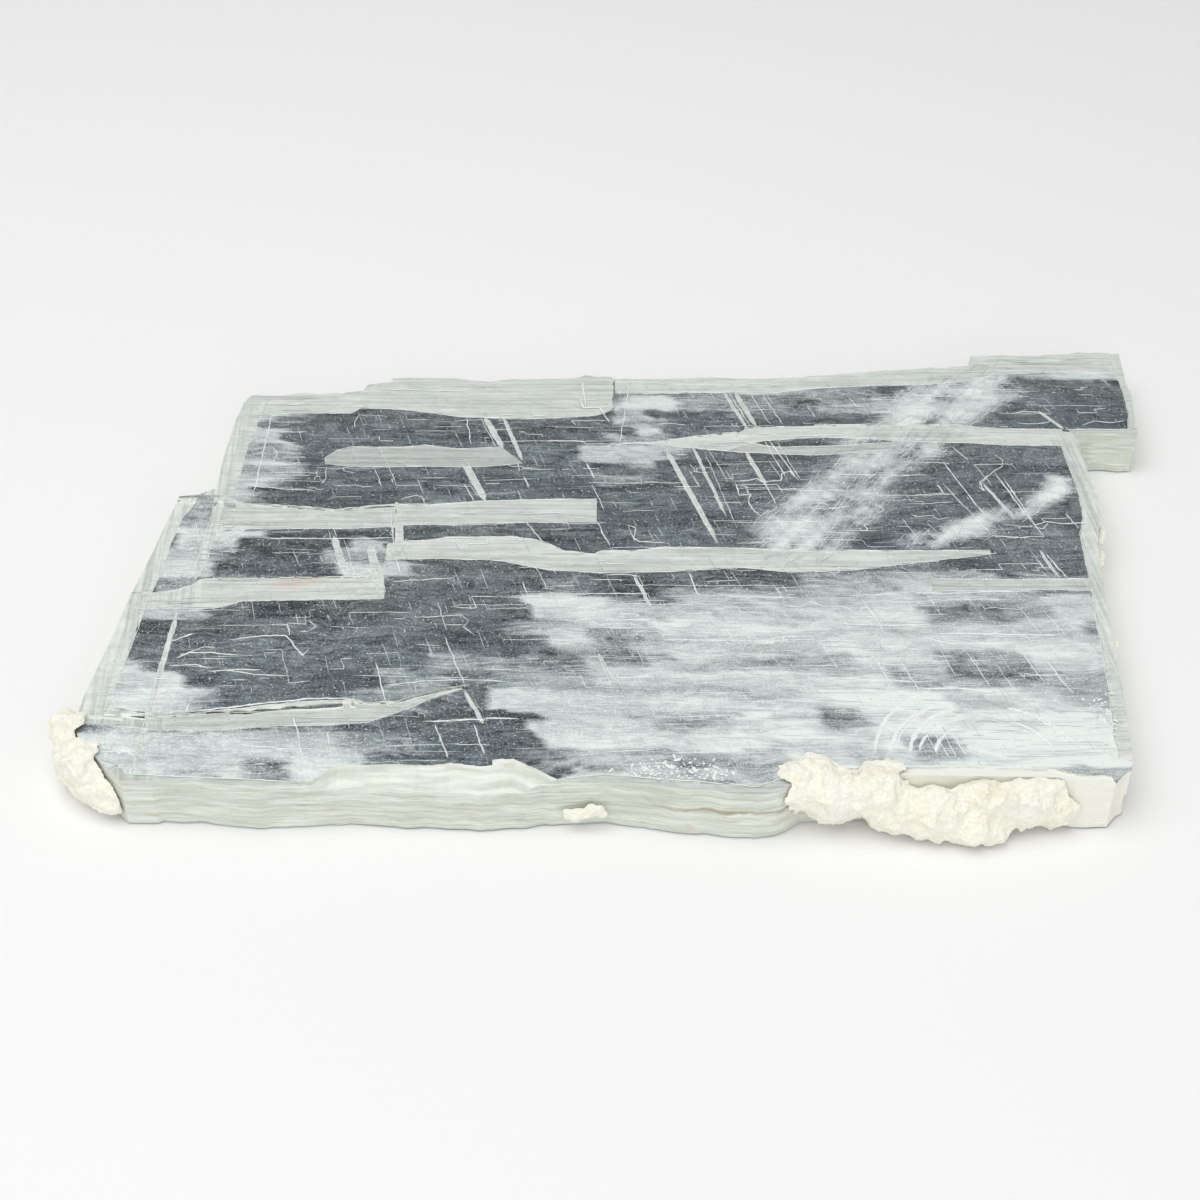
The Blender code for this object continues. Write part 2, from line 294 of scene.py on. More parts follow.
def bevel_cutter():
    """A ragged wedge that breaks away the front edge."""
    x0, x1 = BEVEL_FROM, BEVEL_TO
    slope = BEVEL_DROP / BEVEL_REACH
    steps = 70
    low = []
    for i in range(steps + 1):
        along = x0 + (x1 - x0) * i / steps
        ends = min(1.0, (along - x0) / 5.0, (x1 - along) / 8.0)
        for back in (True, False):
            ragged = 0.6 * rough(along * 0.21, 3.0, 8.0 if back else 2.0)
            ragged += 0.25 * rough(along * 1.1, 5.0, 3.0)
            reach = BEVEL_REACH * ends + ragged
            y = BEVEL_FRONT + reach if back else BEVEL_FRONT - BEVEL_OVERHANG
            z = THICK + 0.02 if back else THICK - (BEVEL_OVERHANG + reach) * slope
            low.append((along, y, z))
    n = len(low)
    verts = low + [(x, y, THICK + 6.0) for x, y, _ in low]
    faces = []
    for i in range(steps):
        a = 2 * i
        faces.append([a, a + 1, a + 3, a + 2])
        faces.append([n + a, n + a + 2, n + a + 3, n + a + 1])
        faces.append([a, a + 2, n + a + 2, n + a])
        faces.append([a + 1, n + a + 1, n + a + 3, a + 3])
    faces.append([0, n, n + 1, 1])
    faces.append([n - 2, n - 1, 2 * n - 1, 2 * n - 2])
    return cutter_of(verts, faces)


def baked(obj):
    """Turns an object's modifiers into plain mesh."""
    graph = bpy.context.evaluated_depsgraph_get()
    mesh = bpy.data.meshes.new_from_object(obj.evaluated_get(graph))
    obj.modifiers.clear()
    obj.data = mesh
    return obj


def volume(mesh):
    """The volume inside a closed mesh, in cubic metres."""
    bm = bmesh.new()
    bm.from_mesh(mesh)
    result = bm.calc_volume()
    bm.free()
    return result


def cut(obj, cutter):
    """Cuts one shape from another, moved by a hair and tried again where the cut fails."""
    bpy.context.scene.collection.objects.link(cutter)
    whole = obj.data
    least = volume(whole) - volume(cutter.data) - 1e-9
    for attempt in range(6):
        cutter.location = (0.011 * MM * attempt, 0.017 * MM * attempt, -0.004 * MM * attempt)
        bpy.context.view_layer.update()
        modifier = obj.modifiers.new("cut", "BOOLEAN")
        modifier.operation = "DIFFERENCE"
        modifier.solver = "EXACT"
        modifier.object = cutter
        baked(obj)
        if least < volume(obj.data) <= volume(whole) + 1e-9:
            break
        obj.data = whole
    else:
        print("A cut was left out:", obj.name, [round(c, 4) for c in cutter.bound_box[0]])
    bpy.data.objects.remove(cutter, do_unlink=True)


def mark_faces(mesh):
    """Marks the flat faces of the top and the underside 0, and every broken face 1."""
    mark = mesh.attributes["broken"].data
    for face in mesh.polygons:
        z = face.center.z / MM
        flat = abs(face.normal.z) > FLAT and (z < 0.01 or z > LOWEST_TOP)
        mark[face.index].value = 0.0 if flat else 1.0


# ---------------------------------------------------------------- node helpers


class Net:
    """Short calls for building a node tree."""

    def __init__(self, tree):
        self.nodes = tree.nodes
        self.links = tree.links

    def put(self, kind, output=0, settings=None, **values):
        """A new node with its settings and inputs, by one of its outputs."""
        node = self.nodes.new(kind)
        for name, value in (settings or {}).items():
            setattr(node, name, value)
        for name, value in values.items():
            self.feed(node.inputs[name.replace("_", " ")], value)
        return node.outputs[output]

    def feed(self, socket, value):
        """Links a socket, or sets its number."""
        if isinstance(value, bpy.types.NodeSocket):
            self.links.new(value, socket)
        else:
            socket.default_value = value

    def math(self, operation, *values, clamp=False):
        """One step of arithmetic."""
        node = self.nodes.new("ShaderNodeMath")
        node.operation = operation
        node.use_clamp = clamp
        for socket, value in zip(node.inputs, values):
            self.feed(socket, value)
        return node.outputs[0]

    def add(self, *values):
        """The sum of the values."""
        total = values[0]
        for value in values[1:]:
            total = self.math("ADD", total, value)
        return total

    def mul(self, *values):
        """The product of the values."""
        total = values[0]
        for value in values[1:]:
            total = self.math("MULTIPLY", total, value)
        return total

    def ramp(self, value, low, high, to_low=0.0, to_high=1.0, smooth=True):
        """A value moved from one range to another."""
        node = self.nodes.new("ShaderNodeMapRange")
        node.interpolation_type = "SMOOTHSTEP" if smooth else "LINEAR"
        for name, given in (
            ("Value", value), ("From Min", low), ("From Max", high),
            ("To Min", to_low), ("To Max", to_high),
        ):
            self.feed(node.inputs[name], given)
        return node.outputs["Result"]

    def stored(self, name):
        """A value stored on the mesh."""
        return self.put("ShaderNodeAttribute", "Fac", {"attribute_name": name})

    def off(self, value, middle=0.5):
        """How far a value is above its middle."""
        return self.math("SUBTRACT", value, middle)

    def blend(self, factor, a, b):
        """One number turned into another."""
        node = self.nodes.new("ShaderNodeMix")
        for socket, value in ((node.inputs["Factor"], factor), (node.inputs[2], a), (node.inputs[3], b)):
            self.feed(socket, value)
        return node.outputs[0]

    def bump(self, height, strength, distance):
        """A surface tilted by a height."""
        return self.put(
            "ShaderNodeBump", "Normal", Height=height, Strength=strength, Distance=distance
        )

    def mix(self, factor, a, b):
        """One colour turned into another."""
        node = self.nodes.new("ShaderNodeMix")
        node.data_type = "RGBA"
        self.feed(node.inputs["Factor"], factor)
        self.feed(node.inputs[6], a)
        self.feed(node.inputs[7], b)
        return node.outputs[2]

    def point(self):
        """The plan drawing's own millimetres, from the object's coordinates."""
        where = self.put("ShaderNodeTexCoord", "Object")
        node = self.nodes.new("ShaderNodeMapping")
        node.inputs["Scale"].default_value = (1000.0, 1000.0, 1000.0)
        node.inputs["Location"].default_value = PLAN_CENTRE
        self.links.new(where, node.inputs["Vector"])
        return node.outputs["Vector"]

    def stretch(self, vector, sizes, turn=0.0, move=0.0):
        """Coordinates divided by the size of a lump along each axis, the first axis turned."""
        node = self.nodes.new("ShaderNodeMapping")
        node.vector_type = "TEXTURE"
        node.inputs["Rotation"].default_value = (0.0, 0.0, math.radians(turn))
        node.inputs["Scale"].default_value = sizes
        node.inputs["Location"].default_value = (move, move, move)
        self.links.new(vector, node.inputs["Vector"])
        return node.outputs["Vector"]

    def noise(self, vector, sizes, detail=3.0, turn=0.0, move=0.0, distortion=0.0):
        """Soft noise with lumps of the given sizes."""
        node = self.nodes.new("ShaderNodeTexNoise")
        node.inputs["Scale"].default_value = 1.0
        node.inputs["Detail"].default_value = detail
        node.inputs["Roughness"].default_value = 0.6
        node.inputs["Distortion"].default_value = distortion
        self.links.new(self.stretch(vector, sizes, turn, move), node.inputs["Vector"])
        return node.outputs["Fac"]


# ---------------------------------------------------------------- materials


def new_material(name):
    """A node material, short calls for its nodes, and its shader."""
    material = bpy.data.materials.new(name)
    material.use_nodes = True
    net = Net(material.node_tree)
    return material, net, net.nodes["Principled BSDF"]


# The brown seam in the front face: how high it lies, and the x of its middle.
SEAM_HEIGHT = 5.2
SEAM_MIDDLE = 16.0


def milk_in_top(net, at, haze, feather):
    """Long wavering streaks, slanting ones in the feather, torn clouds and fine grains."""
    sway = net.off(net.noise(at, (16.0, 9.0, 9.0), 2.0, move=71.0))
    lift = net.put("ShaderNodeCombineXYZ", Y=net.mul(sway, 7.0))
    wavy = net.put("ShaderNodeVectorMath", 0, {"operation": "ADD"}, Vector=at)
    net.feed(wavy.node.inputs[1], lift)
    long_streaks = net.noise(wavy, (20.0, 0.6, 3.0), 4.0)
    slant_streaks = net.noise(at, (9.0, 0.9, 3.0), 4.0, 55.0)
    streak = net.blend(net.mul(feather, 0.8), long_streaks, slant_streaks)
    clouds = net.noise(wavy, (4.2, 2.0, 2.0), 5.0, move=11.0, distortion=1.2)
    pattern = net.add(net.mul(net.off(streak), 1.6), net.mul(net.off(clouds), 2.4))
    swing = net.ramp(haze, 0.0, 1.0, 0.55, 0.16, False)
    milk = net.add(haze, net.mul(pattern, swing, net.ramp(haze, 0.0, 0.3, 0.25, 1.0)))
    grains = net.noise(at, (0.42, 0.32, 0.5), 2.0, move=5.0)
    milk = net.add(milk, net.ramp(grains, 0.50, 0.82, 0.0, 0.55))
    return net.math("MINIMUM", net.math("MAXIMUM", milk, 0.0), 0.97), clouds


def milk_in_bands(net, at, place, band, clouds):
    """Fine streaks along the pale bands, turned where a band runs along the left or right rim."""
    to_side = net.math(
        "MAXIMUM",
        net.ramp(place["X"], -81.0, -84.0),
        net.mul(net.ramp(place["X"], 73.0, 75.0), net.ramp(place["Y"], 37.0, 33.0)),
    )
    along_front = net.noise(at, (22.0, 0.5, 3.0), 4.0, move=21.0)
    along_side = net.noise(at, (0.6, 22.0, 3.0), 4.0, 4.0, 23.0)
    streaks = net.ramp(net.blend(to_side, along_front, along_side), 0.32, 0.62, 0.72, 1.0)
    return net.mul(band, streaks, net.ramp(clouds, 0.3, 0.7, 0.90, 1.06))


def edge_colour(net, at, place, streaks, clouds, beside_crust):
    """Frosted broken edges, with rusty stains and a brown seam low on the front."""
    edge = net.mix(net.ramp(streaks, 0.3, 0.7), (0.80, 0.84, 0.73, 1.0), (0.90, 0.93, 0.85, 1.0))
    stain = net.noise(at, (5.0, 5.0, 1.2), 4.0, move=61.0)
    edge = net.mix(net.ramp(stain, 0.58, 0.74, 0.0, 0.55), edge, (0.74, 0.62, 0.40, 1.0))
    level = net.add(place["Z"], net.mul(net.off(clouds), 1.5))
    off_seam = net.math("ABSOLUTE", net.off(level, SEAM_HEIGHT))
    off_middle = net.math("ABSOLUTE", net.off(place["X"], SEAM_MIDDLE))
    seam = net.mul(net.ramp(off_seam, 0.55, 0.1), net.ramp(off_middle, 26.0, 12.0))
    seam = net.mul(seam, net.ramp(place["Y"], -55.0, -58.0), 0.6)
    edge = net.mix(seam, edge, (0.42, 0.34, 0.22, 1.0))
    return net.mix(net.mul(beside_crust, 0.8), edge, (0.94, 0.93, 0.84, 1.0))


def top_colour(net, at, band, milk, beside_crust):
    """Bluish and greenish milk, and paler bands that turn creamy beside the crust."""
    hue = net.ramp(net.noise(at, (7.0, 1.4, 2.0), 2.0, move=31.0), 0.35, 0.65)
    greenish = net.mix(hue, (0.78, 0.85, 0.78, 1.0), (0.84, 0.86, 0.84, 1.0))
    cool = net.mix(hue, (0.68, 0.80, 0.83, 1.0), (0.75, 0.79, 0.86, 1.0))
    milky = net.mix(milk, cool, (0.86, 0.93, 0.89, 1.0))
    colour = net.mix(net.ramp(band, 0.2, 0.5), milky, greenish)
    return net.mix(net.mul(beside_crust, band), colour, (0.93, 0.94, 0.87, 1.0))


def selenite_material():
    """Clear gypsum: milky in places on its top, frosted and streaked where it broke."""
    material, net, shader = new_material("clear_selenite")
    broken, band, haze, feather, rust = (
        net.stored(name) for name in ("broken", "pale", "haze", "feather", "rust")
    )
    at = net.point()
    place = net.put("ShaderNodeSeparateXYZ", Vector=at).node.outputs
    beside_crust = net.mul(net.ramp(place["X"], 16.0, 24.0), net.ramp(place["Y"], -52.0, -60.0))
    milk, clouds = milk_in_top(net, at, haze, feather)
    band_milk = net.mul(milk_in_bands(net, at, place, band, clouds), 0.95)
    edge_streaks = net.noise(at, (9.0, 9.0, 0.4), 4.0, move=3.0)
    edge_milk = net.mul(broken, net.ramp(edge_streaks, 0.3, 0.7, 0.70, 0.92))

    off_top = net.math("MAXIMUM", net.ramp(band, 0.0, 0.1), broken)
    top_milk = net.mul(milk, net.math("SUBTRACT", 1.0, net.mul(off_top, 0.35)))
    solid = net.math("MAXIMUM", net.math("MAXIMUM", band_milk, edge_milk), top_milk)
    solid = net.math("MAXIMUM", solid, net.mul(beside_crust, off_top, 0.97))

    colour = top_colour(net, at, band, milk, beside_crust)
    colour = net.mix(broken, colour, edge_colour(net, at, place, edge_streaks, clouds, beside_crust))
    colour = net.mix(net.mul(rust, net.ramp(clouds, 0.35, 0.6)), colour, (0.78, 0.60, 0.46, 1.0))
    colour = net.mix(net.ramp(solid, 0.0, 0.15), (1.0, 1.0, 1.0, 1.0), colour)

    shader.inputs["IOR"].default_value = 1.52
    net.feed(shader.inputs["Transmission Weight"], net.math("SUBTRACT", 1.0, solid, clamp=True))
    net.feed(shader.inputs["Roughness"], net.ramp(solid, 0.0, 1.0, 0.03, 0.5, False))
    net.feed(shader.inputs["Base Color"], colour)
    net.feed(shader.inputs["Normal"], net.bump(net.mul(edge_streaks, off_top), 0.3, 0.00015))
    absorbed = net.put(
        "ShaderNodeVolumeAbsorption", "Volume", Color=(0.23, 0.41, 0.48, 1.0), Density=150.0
    )
    net.feed(net.nodes["Material Output"].inputs["Volume"], absorbed)
    return material


def fracture_material(by_tone=False):
    """Frosted white leaves and slivers of gypsum, some of them duller where they carry a tone."""
    material, net, shader = new_material("frosted_slivers" if by_tone else "pale_cleavage")
    streaks = net.noise(net.point(), (3.0, 0.4, 0.5), 3.0)
    colour = net.mix(net.ramp(streaks, 0.35, 0.65), (0.80, 0.84, 0.82, 1.0), (0.93, 0.95, 0.93, 1.0))
    if by_tone:
        tone = net.ramp(net.stored("tone"), 0.0, 1.0, 0.0, 1.0, False)
        colour = net.mix(tone, (0.50, 0.56, 0.57, 1.0), colour)
    net.feed(shader.inputs["Base Color"], colour)
    net.feed(shader.inputs["Roughness"], net.ramp(streaks, 0.3, 0.7, 0.35, 0.6))
    return material


def crust_material():
    """Earthy cream matrix with ochre stains and fine grit."""
    material, net, shader = new_material("cream_matrix")
    at = net.point()
    grit = net.noise(at, (0.5, 0.5, 0.5), 4.0, move=9.0)
    shade = net.ramp(grit, 0.3, 0.7)
    cream = net.mix(net.ramp(grit, 0.35, 0.7), (0.86, 0.85, 0.73, 1.0), (0.95, 0.94, 0.84, 1.0))
    ochre = net.mix(shade, (0.80, 0.72, 0.52, 1.0), (0.92, 0.88, 0.70, 1.0))
    white = net.mix(shade, (0.86, 0.87, 0.83, 1.0), (0.95, 0.95, 0.92, 1.0))
    stain = net.noise(at, (5.0, 5.0, 4.0), 5.0)
    cold = net.noise(at, (6.0, 6.0, 3.0), 4.0, move=19.0)
    colour = net.mix(net.ramp(stain, 0.55, 0.72, 0.0, 0.7), cream, ochre)
    colour = net.mix(net.ramp(cold, 0.52, 0.68, 0.0, 0.8), colour, white)
    net.feed(shader.inputs["Base Color"], colour)
    net.feed(shader.inputs["Roughness"], net.ramp(grit, 0.3, 0.7, 0.95, 0.75))
    net.feed(shader.inputs["Normal"], net.bump(grit, 0.35, 0.0002))
    return material


# ---------------------------------------------------------------- flaws inside the crystal

# Pale cleavage bands: back or outer line, front or inner line, how pale, whether at the rim.
BANDS = (
    (((-83.5, 52.2), (-60.7, 53.8), (-60.0, 56.3), (-55.4, 57.1), (-55.0, 58.8), (-43.0, 59.1),
      (-37.0, 57.8), (-26.0, 58.8), (-17.0, 59.2), (-9.0, 59.5)),
     ((-82.5, 45.2), (-70.0, 45.4), (-62.0, 45.3), (-60.3, 47.3), (-55.0, 47.2), (-50.0, 46.5),
      (-40.0, 44.0), (-28.0, 43.3), (-20.0, 43.6), (-12.5, 44.6), (-9.6, 46.5)), 0.95, True),
    (((-9.0, 59.5), (11.0, 60.4), (21.0, 59.8), (33.5, 61.2), (44.0, 62.8), (60.5, 64.6),
      (65.2, 65.4), (66.2, 69.0), (70.0, 69.5), (81.5, 69.6), (97.0, 70.3)),
     ((-9.0, 54.0), (0.0, 53.8), (14.0, 54.3), (20.0, 53.7), (28.0, 55.0), (35.0, 56.2),
      (45.0, 57.0), (56.0, 57.5), (62.0, 58.5), (70.0, 61.5), (80.0, 62.5), (96.5, 62.0)),
     0.97, True),
    (((-97.2, -50.0), (-97.0, -43.0), (-96.2, -35.0), (-95.2, -25.0), (-94.5, -14.5),
      (-93.7, -7.5), (-93.0, -1.5), (-92.1, 8.0), (-91.2, 15.1)),
     ((-93.4, -50.0), (-92.8, -43.0), (-92.3, -35.0), (-91.8, -25.0), (-91.4, -17.0),
      (-90.9, -8.0), (-90.6, 0.0), (-90.0, 8.0), (-87.8, 15.3)), 1.0, True),
    (((-84.9, 16.0), (-84.9, 29.5), (-84.5, 43.0), (-83.8, 50.0), (-83.1, 51.5)),
     ((-81.2, 16.0), (-81.0, 29.0), (-80.6, 38.0), (-80.0, 45.0), (-79.4, 51.0)), 0.98, True),
    (((81.3, 38.3), (81.8, 34.7), (81.6, 25.0), (81.9, 16.0), (80.9, 9.0), (79.3, 3.6),
      (77.9, -6.0), (77.2, -13.0), (76.0, -24.0), (75.2, -34.0), (74.3, -44.5), (73.2, -53.5),
      (72.6, -59.0)),
     ((78.0, 39.0), (78.3, 34.0), (78.5, 25.0), (78.6, 16.0), (78.0, 9.0), (76.4, 3.6),
      (75.6, -6.0), (75.2, -13.0), (74.0, -24.0), (73.2, -34.0), (72.2, -44.0), (71.0, -53.0),
      (70.5, -59.0)), 0.98, True),
    (((97.8, 73.0), (97.1, 65.0), (96.2, 54.0), (95.4, 46.0), (94.4, 40.4)),
     ((95.8, 73.0), (95.2, 65.0), (94.9, 54.0), (94.3, 46.0), (93.0, 40.4)), 0.95, True),
    (((81.0, 38.5), (88.0, 38.6), (97.6, 38.2)), ((80.6, 40.3), (88.0, 40.2), (97.4, 40.1)),
     0.9, True),
    (((-19.5, -64.3),) + FRONT_EDGE[10::-1],
     ((-19.5, -63.9), (-15.0, -63.1), (-11.4, -62.6), (-4.0, -63.4), (2.4, -64.0), (12.6, -65.4),
      (15.0, -64.4), (19.5, -61.5), (33.0, -60.9), (46.0, -60.6), (60.0, -61.4), (64.0, -62.9),
      (68.6, -63.0)), 0.9, True),
    (((-90.0, -61.0), (-87.5, -63.6), (-79.0, -63.8), (-67.0, -65.0), (-57.0, -64.7)),
     ((-88.8, -59.8), (-86.9, -62.0), (-79.0, -62.6), (-67.0, -63.3), (-61.0, -63.9), (-57.0, -64.4)),
     0.9, True),
    (((-65.6, 29.0), (-63.5, 31.6), (-60.6, 33.0), (-51.6, 32.8), (-46.2, 33.6), (-40.0, 32.3),
      (-36.0, 32.5), (-31.4, 33.0)),
     ((-65.2, 26.8), (-60.0, 26.0), (-50.0, 25.7), (-45.0, 25.9), (-35.0, 25.8), (-26.8, 27.0)), 0.72, False),
    (((-84.8, 15.0), (-82.0, 14.6), (-78.0, 13.2), (-67.0, 12.2), (-62.0, 11.4), (-55.0, 12.5),
      (-50.0, 13.0), (-44.0, 12.8), (-33.0, 14.2), (-24.0, 14.5), (-12.6, 14.8)),
     ((-84.6, 5.2), (-75.0, 5.3), (-57.0, 5.5), (-51.0, 6.0), (-45.0, 6.4), (-36.0, 6.1),
      (-27.0, 7.0), (-12.6, 7.1)), 0.92, False),
    (((-51.0, 0.8), (-44.0, 1.3), (-40.0, 2.3), (-28.0, 2.5), (-24.0, 1.6), (-21.0, 0.0),
      (-18.7, -2.0), (-13.0, -3.0), (-12.0, -2.0), (-6.0, -2.0), (0.0, -0.8), (14.0, -1.2),
      (30.0, -2.5), (34.0, -1.8), (46.0, -2.0), (59.0, -1.8)),
     ((-51.0, -4.8), (-40.0, -4.5), (-30.0, -5.0), (-26.0, -6.5), (-21.0, -8.0), (-12.0, -8.8),
      (-4.0, -8.6), (4.0, -8.2), (14.0, -7.2), (22.0, -8.6), (34.0, -8.0), (46.0, -5.5),
      (59.0, -3.2)), 0.95, False),
    (((47.0, -10.7), (60.0, -10.8), (76.0, -10.5)),
     ((47.0, -14.3), (58.0, -14.2), (66.0, -13.8), (75.4, -14.2)), 0.85, False),
    (((-93.6, -14.8), (-87.4, -14.2), (-84.7, -12.3), (-83.0, -10.3), (-63.8, -10.1),
      (-50.6, -9.8)),
     ((-94.0, -19.4), (-87.0, -19.4), (-80.0, -19.5), (-77.0, -18.5), (-75.0, -17.2),
      (-60.0, -16.8), (-50.0, -16.6)), 0.95, False),
    (((-94.0, -46.5), (-84.0, -48.2), (-79.5, -47.8), (-70.0, -46.3), (-63.0, -45.0),
      (-53.0, -44.2), (-50.0, -45.0), (-45.0, -44.5), (-40.0, -42.4), (-35.0, -40.8)),
     ((-94.0, -50.0), (-84.0, -51.5), (-75.0, -51.5), (-65.0, -50.6), (-55.0, -50.2),
      (-50.0, -49.5), (-45.0, -47.0), (-40.0, -43.6), (-35.0, -41.2)), 0.85, False),
    (((-3.0, 34.3), (7.0, 36.9), (15.5, 38.7), (17.0, 40.2), (24.0, 41.1), (38.0, 41.1),
      (48.0, 41.9), (60.0, 41.0), (67.0, 39.6), (79.6, 39.4)),
     ((-3.0, 33.8), (7.0, 32.4), (12.0, 31.6), (20.0, 35.0), (30.0, 36.3), (40.0, 36.0),
      (48.0, 35.0), (60.0, 34.4), (68.0, 33.4), (79.6, 33.4)), 1.0, False),
    (((7.0, 34.0), (16.0, 35.0), (22.0, 32.9), (33.0, 33.3), (45.0, 34.5)),
     ((7.0, 32.4), (15.0, 31.1), (22.0, 30.4), (30.0, 29.9), (45.0, 32.0)), 0.8, False),
)

# Cross-cleavage bars: from, to, width.
BARS = (
    (-38.8, 44.0, -37.2, 33.5, 0.3), (-35.0, 43.8, -31.0, 32.4, 1.1), (-31.3, 43.6, -27.0, 28.0, 0.7),
    (-36.0, 43.8, -32.4, 33.0, 0.25), (-38.8, 29.0, -33.6, 14.2, 1.4), (-38.0, 20.0, -35.8, 14.0, 0.3),
    (-61.0, 3.0, -57.3, -9.7, 1.2), (-59.0, 2.0, -55.8, -9.5, 0.25), (-54.2, 0.5, -50.3, -16.5, 1.5),
    (-50.3, 13.8, -48.6, -3.0, 2.0), (-49.0, -4.0, -47.5, -9.4, 0.35), (-83.4, 15.6, -84.3, -10.4, 1.9),
    (-85.8, -19.5, -86.0, -62.0, 0.9), (-87.2, 8.0, -85.4, 0.0, 0.25), (-77.8, 45.6, -77.6, 16.0, 0.35),
    (-62.2, -47.8, -59.5, -58.0, 0.3), (-56.2, -52.0, -54.7, -59.0, 0.3), (-50.0, -34.0, -47.3, -45.0, 0.35),
    (-34.5, -41.5, -31.0, -50.0, 0.6), (-39.0, -50.0, -36.2, -58.4, 0.35), (-32.6, -50.0, -30.4, -57.6, 0.4),
    (-40.6, -17.0, -38.4, -26.0, 0.2), (-38.8, -27.0, -34.4, -41.0, 0.3), (-14.6, 27.2, -13.0, 22.0, 0.4),
    (-13.6, 20.0, -11.2, 11.0, 0.25), (-25.6, 7.0, -22.4, 0.5, 0.3), (-12.6, 7.5, -10.2, -0.6, 0.35),
    (-15.7, 58.0, -14.8, 48.0, 0.4), (-5.8, 59.0, -8.3, 33.0, 0.3), (0.6, 33.2, 9.5, 0.4, 0.95),
    (6.0, 33.5, 11.5, 9.0, 0.55), (8.3, 32.0, 13.3, 5.0, 0.2), (9.2, 32.0, 12.6, 20.0, 0.2),
    (16.4, 31.2, 19.6, 19.4, 0.8), (19.4, 21.0, 21.0, 13.0, 0.3), (13.3, 54.4, 17.3, 40.6, 0.6),
    (14.4, 54.4, 18.0, 41.0, 0.3), (15.6, 54.0, 19.1, 41.4, 0.9), (20.2, 35.6, 23.6, 22.0, 0.3),
    (21.0, 36.0, 26.0, 21.0, 0.35), (22.8, 35.0, 26.4, 21.0, 0.25), (18.7, 54.0, 22.0, 42.0, 0.25),
    (21.0, 54.0, 24.5, 42.0, 0.25), (53.4, 20.0, 60.0, 3.0, 0.3), (54.3, 28.0, 59.8, 9.0, 0.35),
    (61.0, 20.0, 65.3, 8.0, 0.5), (63.8, 24.0, 68.3, 6.0, 0.35), (65.2, 22.0, 69.6, 2.0, 0.3),
    (57.0, 33.0, 59.4, 28.0, 0.3), (68.0, -2.0, 70.0, -10.2, 0.5), (69.0, -3.0, 71.3, -10.2, 0.4),
    (75.0, 10.0, 76.4, 5.0, 0.25), (44.3, 8.0, 46.3, 2.0, 0.2), (48.5, 7.0, 52.0, 1.0, 0.2),
    (3.8, -8.4, 5.4, -16.0, 0.35), (-6.0, -9.6, -3.0, -19.0, 0.5), (-12.3, -32.0, -10.0, -40.0, 0.6),
    (-18.0, -42.0, -16.8, -46.0, 0.25), (34.0, -16.0, 37.0, -26.0, 0.25), (61.0, -18.0, 64.0, -27.0, 0.2),
    (59.0, -29.0, 62.2, -40.0, 0.3), (63.6, -34.0, 66.4, -43.0, 0.35), (50.3, -31.0, 52.9, -41.0, 0.25),
    (46.0, -31.0, 47.6, -38.0, 0.2), (38.5, -33.0, 41.0, -42.0, 0.3), (32.0, -31.0, 34.4, -37.0, 0.2),
    (65.5, -20.0, 68.0, -27.0, 0.2), (76.4, 47.0, 80.2, 40.2, 0.6), (42.0, -52.0, 43.6, -58.6, 0.3),
    (43.4, -52.0, 45.0, -58.8, 0.25), (44.9, -52.0, 46.4, -58.6, 0.3), (40.6, -52.4, 42.0, -58.0, 0.25),
)

